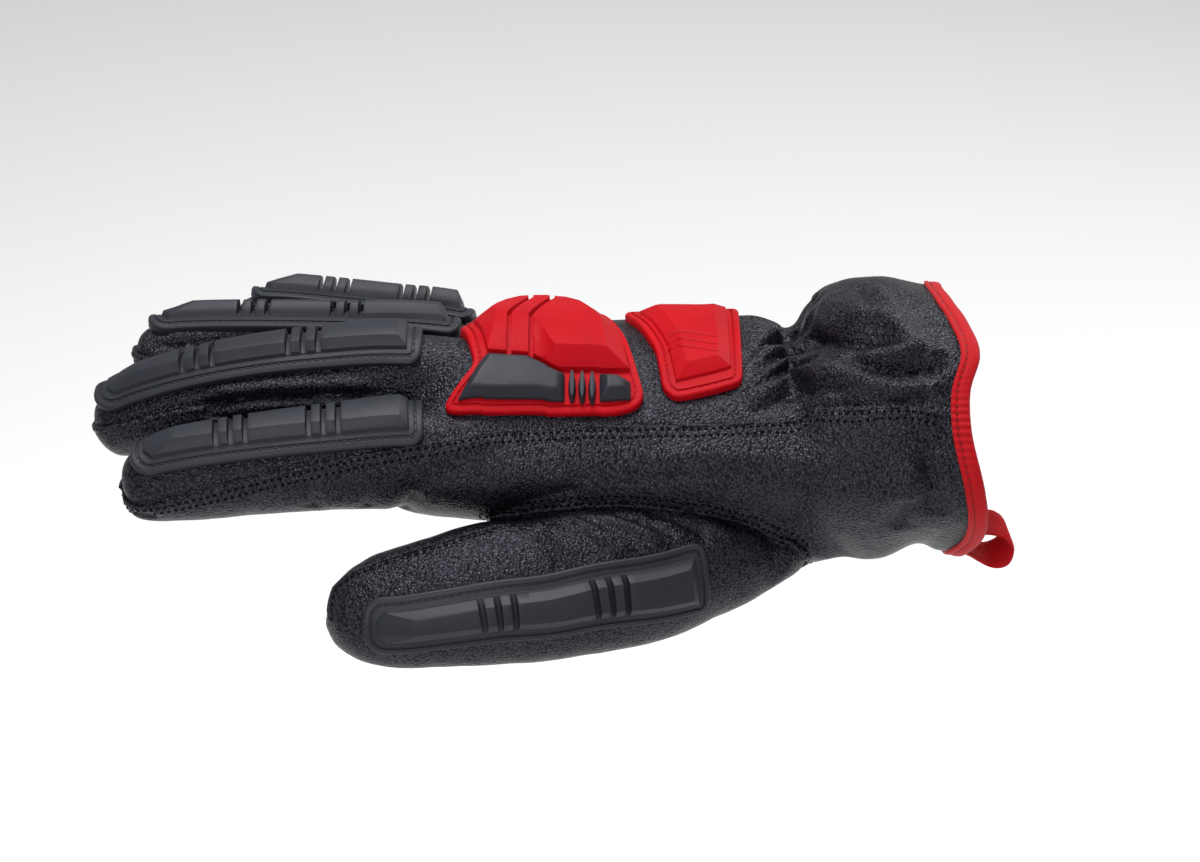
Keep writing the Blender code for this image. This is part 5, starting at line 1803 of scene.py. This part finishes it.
def rubber_material(name, colour, roughness, bump, shine):
    """Moulded rubber with a faint matt texture."""
    made, tree, shader = new_material(name)
    place = own_place(tree)
    broad = noise_on(tree, place, 60, 4)
    feed(tree, shader, {
        "Normal": bump_on(tree, noise_on(tree, place, 2600, 2), bump, 0.05 * MM),
        "Base Color": shaded(tree, broad, colour, 0.3, 0.88, 0.75, 1.08),
        "Roughness": mapped(tree, broad, roughness - 0.06, roughness + 0.06),
        "Specular IOR Level": shine,
    })
    return made


def fabric_material(name, colour, weave):
    """Woven tape: crossing threads with a soft sheen."""
    made, tree, shader = new_material(name)
    place = own_place(tree)
    across, along = [
        add_node(tree, "ShaderNodeTexWave", {
            "Vector": place, "Scale": scale / weave, "Distortion": 0.6,
        }, bands_direction=direction).outputs["Fac"]
        for direction, scale in (("X", 1.0), ("Y", 0.8))
    ]
    crossed = add_node(tree, "ShaderNodeMath", {0: across, 1: along}, operation="MULTIPLY")
    feed(tree, shader, {
        "Normal": bump_on(tree, crossed.outputs["Value"], 0.3, 0.08 * MM),
        "Base Color": (*colour, 1),
        "Roughness": 0.62,
        "Sheen Weight": 0.06,
        "Specular IOR Level": 0.15,
    })
    return made


def thread_material(name, colour, shine=0.5):
    """Sewing thread, or a near-black, nearly matt seam stitch: black thread with the shade of its needle
    hole painted into its colour.
    """
    made, tree, shader = new_material(name)
    place = own_place(tree)
    twist = add_node(tree, "ShaderNodeTexNoise", {"Vector": place, "Scale": 4000}).outputs["Fac"]
    feed(tree, shader, {
        "Normal": bump_on(tree, twist, 0.4, 0.05 * MM),
        "Base Color": (*colour, 1),
        "Roughness": 0.55,
        "Specular IOR Level": shine,
    })
    return made


MADE = {}


def look(name):
    """The material of a name, made once from the settings in the panel."""
    leather = bpy.context.scene.glove_leather
    rubber = bpy.context.scene.glove_rubber
    trim = bpy.context.scene.glove_trim
    makers = {
        "leather": (leather_material, tuple(leather.colour), leather.grain),
        "grey": (rubber_material, "grey_rubber", tuple(rubber.grey), 0.5, 0.25, 0.26),
        "red": (rubber_material, "red_rubber", tuple(rubber.red), 0.55, 0.2, 0.1),
        "fabric": (fabric_material, "red_fabric", tuple(trim.colour), trim.weave),
        "black_thread": (thread_material, "black_thread", (0.008, 0.009, 0.012)),
        "red_thread": (thread_material, "red_thread", (0.10, 0.001, 0.003)),
        # The seams' stitches are black thread, darker and more matt than the thread itself, with the shade
        # of their needle holes painted in
        "hole": (thread_material, "stitch_hole", (0.001, 0.001, 0.0015), 0.05),
    }
    if name not in MADE:
        maker, *given = makers[name]
        MADE[name] = maker(*given)
    return MADE[name]


# Settings, operators and panel

class GloveLeather(bpy.types.PropertyGroup):
    """Settings of the leather."""

    colour: bpy.props.FloatVectorProperty(
        name="Colour", description="Colour of the leather", subtype="COLOR", size=3,
        default=(0.0085, 0.0085, 0.0125), min=0, max=1,
    )
    grain: bpy.props.FloatProperty(
        name="Grain", description="Size of a pebble of the grain", unit="LENGTH", default=0.78 * MM,
        min=0.2 * MM,
    )
    voxel: bpy.props.FloatProperty(
        name="Mesh size", description="Edge length of the leather's mesh", unit="LENGTH", default=1.0 * MM,
        min=0.5 * MM,
    )
    thickness: bpy.props.FloatProperty(
        name="Thickness", description="Thickness of the leather", unit="LENGTH", default=LEATHER,
        min=0.5 * MM,
    )


class GloveRubber(bpy.types.PropertyGroup):
    """Settings of the rubber guards."""

    grey: bpy.props.FloatVectorProperty(
        name="Guard colour", description="Colour of the finger guards", subtype="COLOR", size=3,
        default=(0.020, 0.022, 0.030), min=0, max=1,
    )
    red: bpy.props.FloatVectorProperty(
        name="Plate colour", description="Colour of the plates on the back", subtype="COLOR", size=3,
        default=(0.43, 0.0015, 0.007), min=0, max=1,
    )


class GloveTrim(bpy.types.PropertyGroup):
    """Settings of the cuff trim and the stitches."""

    colour: bpy.props.FloatVectorProperty(
        name="Colour", description="Colour of the binding and the loop", subtype="COLOR", size=3,
        default=(0.42, 0.002, 0.006), min=0, max=1,
    )
    weave: bpy.props.FloatProperty(
        name="Weave", description="Width of a thread of the tape", unit="LENGTH", default=0.45 * MM,
        min=0.1 * MM,
    )
    pitch: bpy.props.FloatProperty(
        name="Stitch pitch", description="Distance from stitch to stitch", unit="LENGTH", default=2.15 * MM,
        min=0.5 * MM,
    )


SEWING = {}


class GLOVE_OT_leather(bpy.types.Operator):
    """Make the leather panels"""

    bl_idname = "glove.leather"
    bl_label = "Leather panels"

    def execute(self, context):
        settings = context.scene.glove_leather
        skin = leather_skin(settings.voxel)
        sheets = cut_panels(skin)
        SEWING["tree"] = surface_tree(sheets.values())
        for panel in SKIN_PANELS:
            sheet = sheets[panel.name]
            points = coordinates(sheet.data)
            SEWING[panel.name] = [points[path] for path in boundary_paths(sheet.data)]
            thicken(sheet, settings.thickness)
            dress(sheet, look("leather"), panel.node, SOFT_CREASE)
        return {"FINISHED"}


class GLOVE_OT_finger_guards(bpy.types.Operator):
    """Make the guards along the fingers and the thumb"""

    bl_idname = "glove.finger_guards"
    bl_label = "Finger guards"

    def execute(self, context):
        for finger in FINGER_ROWS:
            length = (finger.guard_front - finger.guard_rear) * finger.length * FINGER_LENGTH
            width = FINGER_GUARD_WIDTH * (0.45 + 0.55 * finger.width)
            shares = (finger.groove_rear, finger.groove_front)
            wrap = finger_wrap(finger)
            tip = FINGER_GUARD_TAPER * width
            guard, flange = strip_guard(finger.name + "_ridge", length, width, tip, shares, wrap)
            dress(guard, look("grey"), finger.name + "_guard", RUBBER_CREASE)
            SEWING[guard.name] = (flange, wrap)
        length = (THUMB_GUARD_FRONT - THUMB_GUARD_REAR) * THUMB_LENGTH
        shares = (THUMB_GROOVE_REAR, THUMB_GROOVE_FRONT)
        tip = THUMB_GUARD_TAPER * THUMB_GUARD_WIDTH
        guard, flange = strip_guard("thumb_ridge", length, THUMB_GUARD_WIDTH, tip, shares, thumb_wrap)
        dress(guard, look("grey"), "thumb_guard", RUBBER_CREASE)
        SEWING[guard.name] = (flange, thumb_wrap)
        return {"FINISHED"}


class GLOVE_OT_back_guards(bpy.types.Operator):
    """Make the red plates on the back of the hand and the grey insert"""

    bl_idname = "glove.back_guards"
    bl_label = "Plates on the back"

    def execute(self, context):
        wrap = BackSurface()
        outline, body, top = map(knuckle_outline, (KNUCKLE_OUTLINE, KNUCKLE_BODY, KNUCKLE_TOP))
        grooves = [
            [
                (*knuckle_place(PlatePoint(share - behind, across)), *([GROOVE_LOW_FLOOR] if low else []))
                for behind, across, low in GROOVE_COURSE
            ]
            for share in BODY_GROOVES
        ]
        guard, flange = plate("knuckle_plate", outline, body, top, KNUCKLE_GUARD_HEIGHT, grooves, wrap)
        dress(guard, look("red"), "knuckle_guard", RUBBER_CREASE)
        SEWING[guard.name] = (flange, wrap)
        for name, node, points in (
            ("front_insert", "insert_front", INSERT_FRONT),
            ("rear_insert", "insert_rear", INSERT_REAR),
        ):
            block = insert_block(name, knuckle_outline(points), wrap)
            dress(block, look("grey"), node, RUBBER_CREASE)
        for number in range(INSERT_FIN_COUNT):
            share = INSERT_FIN_REAR + number * INSERT_FIN_PITCH
            fin = insert_fin("fin_%d" % (number + 1), share, wrap)
            dress(fin, look("grey"), "insert_fin_%d" % (number + 1), RUBBER_CREASE)
        rear = BACK_PLATE_REAR * HAND_LENGTH
        outline = plate_outline(BACK_OUTLINE, rear, BACK_PLATE_LENGTH, BACK_PLATE_SPAN)
        body = plate_outline(BACK_BODY, rear, BACK_PLATE_LENGTH, BACK_PLATE_SPAN)
        top = inset(body, PLATE_BEVEL)
        guard, flange = plate("rear_plate", outline, body, top, BACK_PLATE_HEIGHT, (), wrap)
        dress(guard, look("red"), "back_plate", RUBBER_CREASE)
        SEWING[guard.name] = (flange, wrap)
        tree = surface_tree([guard])
        runs = [path_run(tree, ridge) for ridge in PLATE_RIDGES]
        dress(bead("plate_ridges", runs, *RIDGE_BEAD), look("red"), None, SOFT_CREASE)
        return {"FINISHED"}


class GLOVE_OT_trim(bpy.types.Operator):
    """Make the cuff binding and the pull loop"""

    bl_idname = "glove.trim"
    bl_label = "Cuff trim"

    def execute(self, context):
        dress(cuff_binding(), look("fabric"), "cuff_binding", SOFT_CREASE)
        dress(pull_loop(), look("fabric"), "pull_loop", SOFT_CREASE)
        return {"FINISHED"}


class GLOVE_OT_stitches(bpy.types.Operator):
    """Sew the seams, the guards and the binding"""

    bl_idname = "glove.stitches"
    bl_label = "Stitches"

    def execute(self, context):
        pitch = context.scene.glove_trim.pitch
        groups = {"grey": [], "red": []}
        for name, (flange, wrap) in [(k, v) for k, v in SEWING.items() if isinstance(v, tuple)]:
            line = inset(flange, STITCH_GROOVE_INSET)
            depth = FLANGE_THICKNESS - 0.75 * STITCH_GROOVE_DEPTH
            points, run = spaced([tuple(point) for point in line], pitch, True)
            places, runs, faces = [], [], []
            for point, direction in zip(points, run):
                flat = Vector((point[0], point[1], depth))
                here = wrap(flat)
                ahead = wrap(flat + Vector(direction) * 0.5 * MM)
                up = wrap(flat + Vector((0, 0, MM)))
                places.append(tuple(here))
                runs.append(tuple((ahead - here).normalized()))
                faces.append(tuple((up - here).normalized()))
            colour = "red" if name in ("knuckle_plate", "rear_plate") else "grey"
            groups[colour].append((np.array(places), np.array(runs), np.array(faces)))
        sew("guard_stitches", groups["grey"], look("black_thread"), GUARD_STITCH)
        sew("plate_stitches", groups["red"], look("red"), GUARD_STITCH)
        ring = rim_ring(-BINDING_SEAM, 0.75 * BINDING_THICKNESS)
        outer = rim_ring(-BINDING_SEAM, 2 * BINDING_THICKNESS)
        points, run = spaced(ring, pitch, True)
        closest = [int(np.argmin(np.linalg.norm(ring - point, axis=1))) for point in points]
        faces = unit_rows(outer[closest] - ring[closest])
        sew("binding_stitches", [(points, run, faces)], look("red_thread"), BINDING_STITCH)
        tree = SEWING["tree"]
        rows = []
        runs = [run for path in SEWING["palm_panel"] for run in seam_runs(tree, path)]
        welts = []
        for run in runs:
            between = between_fingers(run[0])
            for shift in SEAM_ROW_SHIFTS:
                places = rows_beside(tree, run, shift, pitch)
                kept = ~between_fingers(places[0])
                rows.append(tuple(each[kept] for each in places))
            welts += stretches(*run[:2], between)
        thumb_edge = path_run(tree, THUMB_EDGE)
        rows.append(rows_beside(tree, thumb_edge, THUMB_ROW_SHIFT, pitch))
        # The seams' stitches take the near-black thread material, with painted shade of the needle holes
        sew("seam_stitches", rows, look("hole"), SEAM_STITCH)
        edge = bead("seam_edge", runs + [thumb_edge], *SEAM_BEAD)
        dress(edge, look("leather"), None, SOFT_CREASE)
        welt = bead("finger_welts", welts, *WELT_BEAD)
        dress(welt, look("leather"), None, SOFT_CREASE)
        return {"FINISHED"}


def area_light(name, place, size, power):
    """A soft square light that faces the glove."""
    data = bpy.data.lights.new(name, "AREA")
    data.shape = "SQUARE"
    data.size = size
    data.energy = power
    lamp = bpy.data.objects.new(name, data)
    lamp.location = place
    lamp.rotation_euler = (CAMERA_TARGET - Vector(place)).to_track_quat("-Z", "Y").to_euler()
    bpy.context.scene.collection.objects.link(lamp)


class GLOVE_OT_stage(bpy.types.Operator):
    """Make the floor, the lights and the camera"""

    bl_idname = "glove.stage"
    bl_label = "Stage"

    def execute(self, context):
        scene = context.scene
        floor_height = CAD_BOX[0].z - FLOOR_DROP
        corners = [(x, y, floor_height) for x, y in ((-6, -6), (6, -6), (6, 6), (-6, 6))]
        mesh = bpy.data.meshes.new("floor")
        mesh.from_pydata(corners, [], [(0, 1, 2, 3)])
        floor = link("floor", mesh)
        made, _, shader = new_material("pale_floor")
        shader.inputs["Base Color"].default_value = (0.98, 0.98, 0.98, 1)
        shader.inputs["Roughness"].default_value = 0.9
        floor.data.materials.append(made)
        world = bpy.data.worlds.new("studio")
        world.use_nodes = True
        background = world.node_tree.nodes["Background"]
        background.inputs["Color"].default_value = (1, 1, 1, 1)
        background.inputs["Strength"].default_value = 0.36
        scene.world = world
        scene.view_settings.view_transform = "Standard"
        area_light("key", (-0.2, 0.15, 0.9), 0.5, 9)
        area_light("rim", (0.45, 0.55, 0.5), 0.4, 3)
        area_light("fill", (-0.3, -0.9, 0.5), 0.3, 3.8)
        data = bpy.data.cameras.new("camera")
        data.sensor_width = 36
        data.lens = data.sensor_width * CAMERA_DISTANCE / (PHOTO_WIDTH * PHOTO_PIXEL)
        data.clip_start = 0.05
        data.clip_end = 20
        camera = bpy.data.objects.new("camera", data)
        camera.location = camera_place()
        camera.rotation_euler = (CAMERA_TARGET - camera.location).to_track_quat("-Z", "Y").to_euler()
        scene.collection.objects.link(camera)
        scene.camera = camera
        return {"FINISHED"}


OPERATORS = (
    GLOVE_OT_leather,
    GLOVE_OT_finger_guards,
    GLOVE_OT_back_guards,
    GLOVE_OT_trim,
    GLOVE_OT_stitches,
    GLOVE_OT_stage,
)


class GLOVE_PT_panel(bpy.types.Panel):
    """Panel with the glove's settings and operators."""

    bl_label = "Work glove"
    bl_idname = "GLOVE_PT_panel"
    bl_space_type = "VIEW_3D"
    bl_region_type = "UI"
    bl_category = "Work glove"

    def draw(self, context):
        layout = self.layout
        for group, names in (
            (context.scene.glove_leather, ("colour", "grain", "voxel", "thickness")),
            (context.scene.glove_rubber, ("grey", "red")),
            (context.scene.glove_trim, ("colour", "weave", "pitch")),
        ):
            box = layout.box()
            for name in names:
                box.prop(group, name)
        for operator in OPERATORS:
            layout.operator(operator.bl_idname)


GROUPS = (
    ("glove_leather", GloveLeather),
    ("glove_rubber", GloveRubber),
    ("glove_trim", GloveTrim),
)


def register():
    """Register the settings, the operators and the panel."""
    for name, group in GROUPS:
        bpy.utils.register_class(group)
        setattr(bpy.types.Scene, name, bpy.props.PointerProperty(type=group))
    for each in OPERATORS:
        bpy.utils.register_class(each)
    bpy.utils.register_class(GLOVE_PT_panel)


def unregister():
    """Take back what register did."""
    bpy.utils.unregister_class(GLOVE_PT_panel)
    for each in reversed(OPERATORS):
        bpy.utils.unregister_class(each)
    for name, group in reversed(GROUPS):
        delattr(bpy.types.Scene, name)
        bpy.utils.unregister_class(group)


def main():
    """Make the glove and its stage."""
    register()
    bpy.ops.glove.leather()
    bpy.ops.glove.finger_guards()
    bpy.ops.glove.back_guards()
    bpy.ops.glove.trim()
    bpy.ops.glove.stitches()
    bpy.ops.glove.stage()


if __name__ == "__main__":
    main()
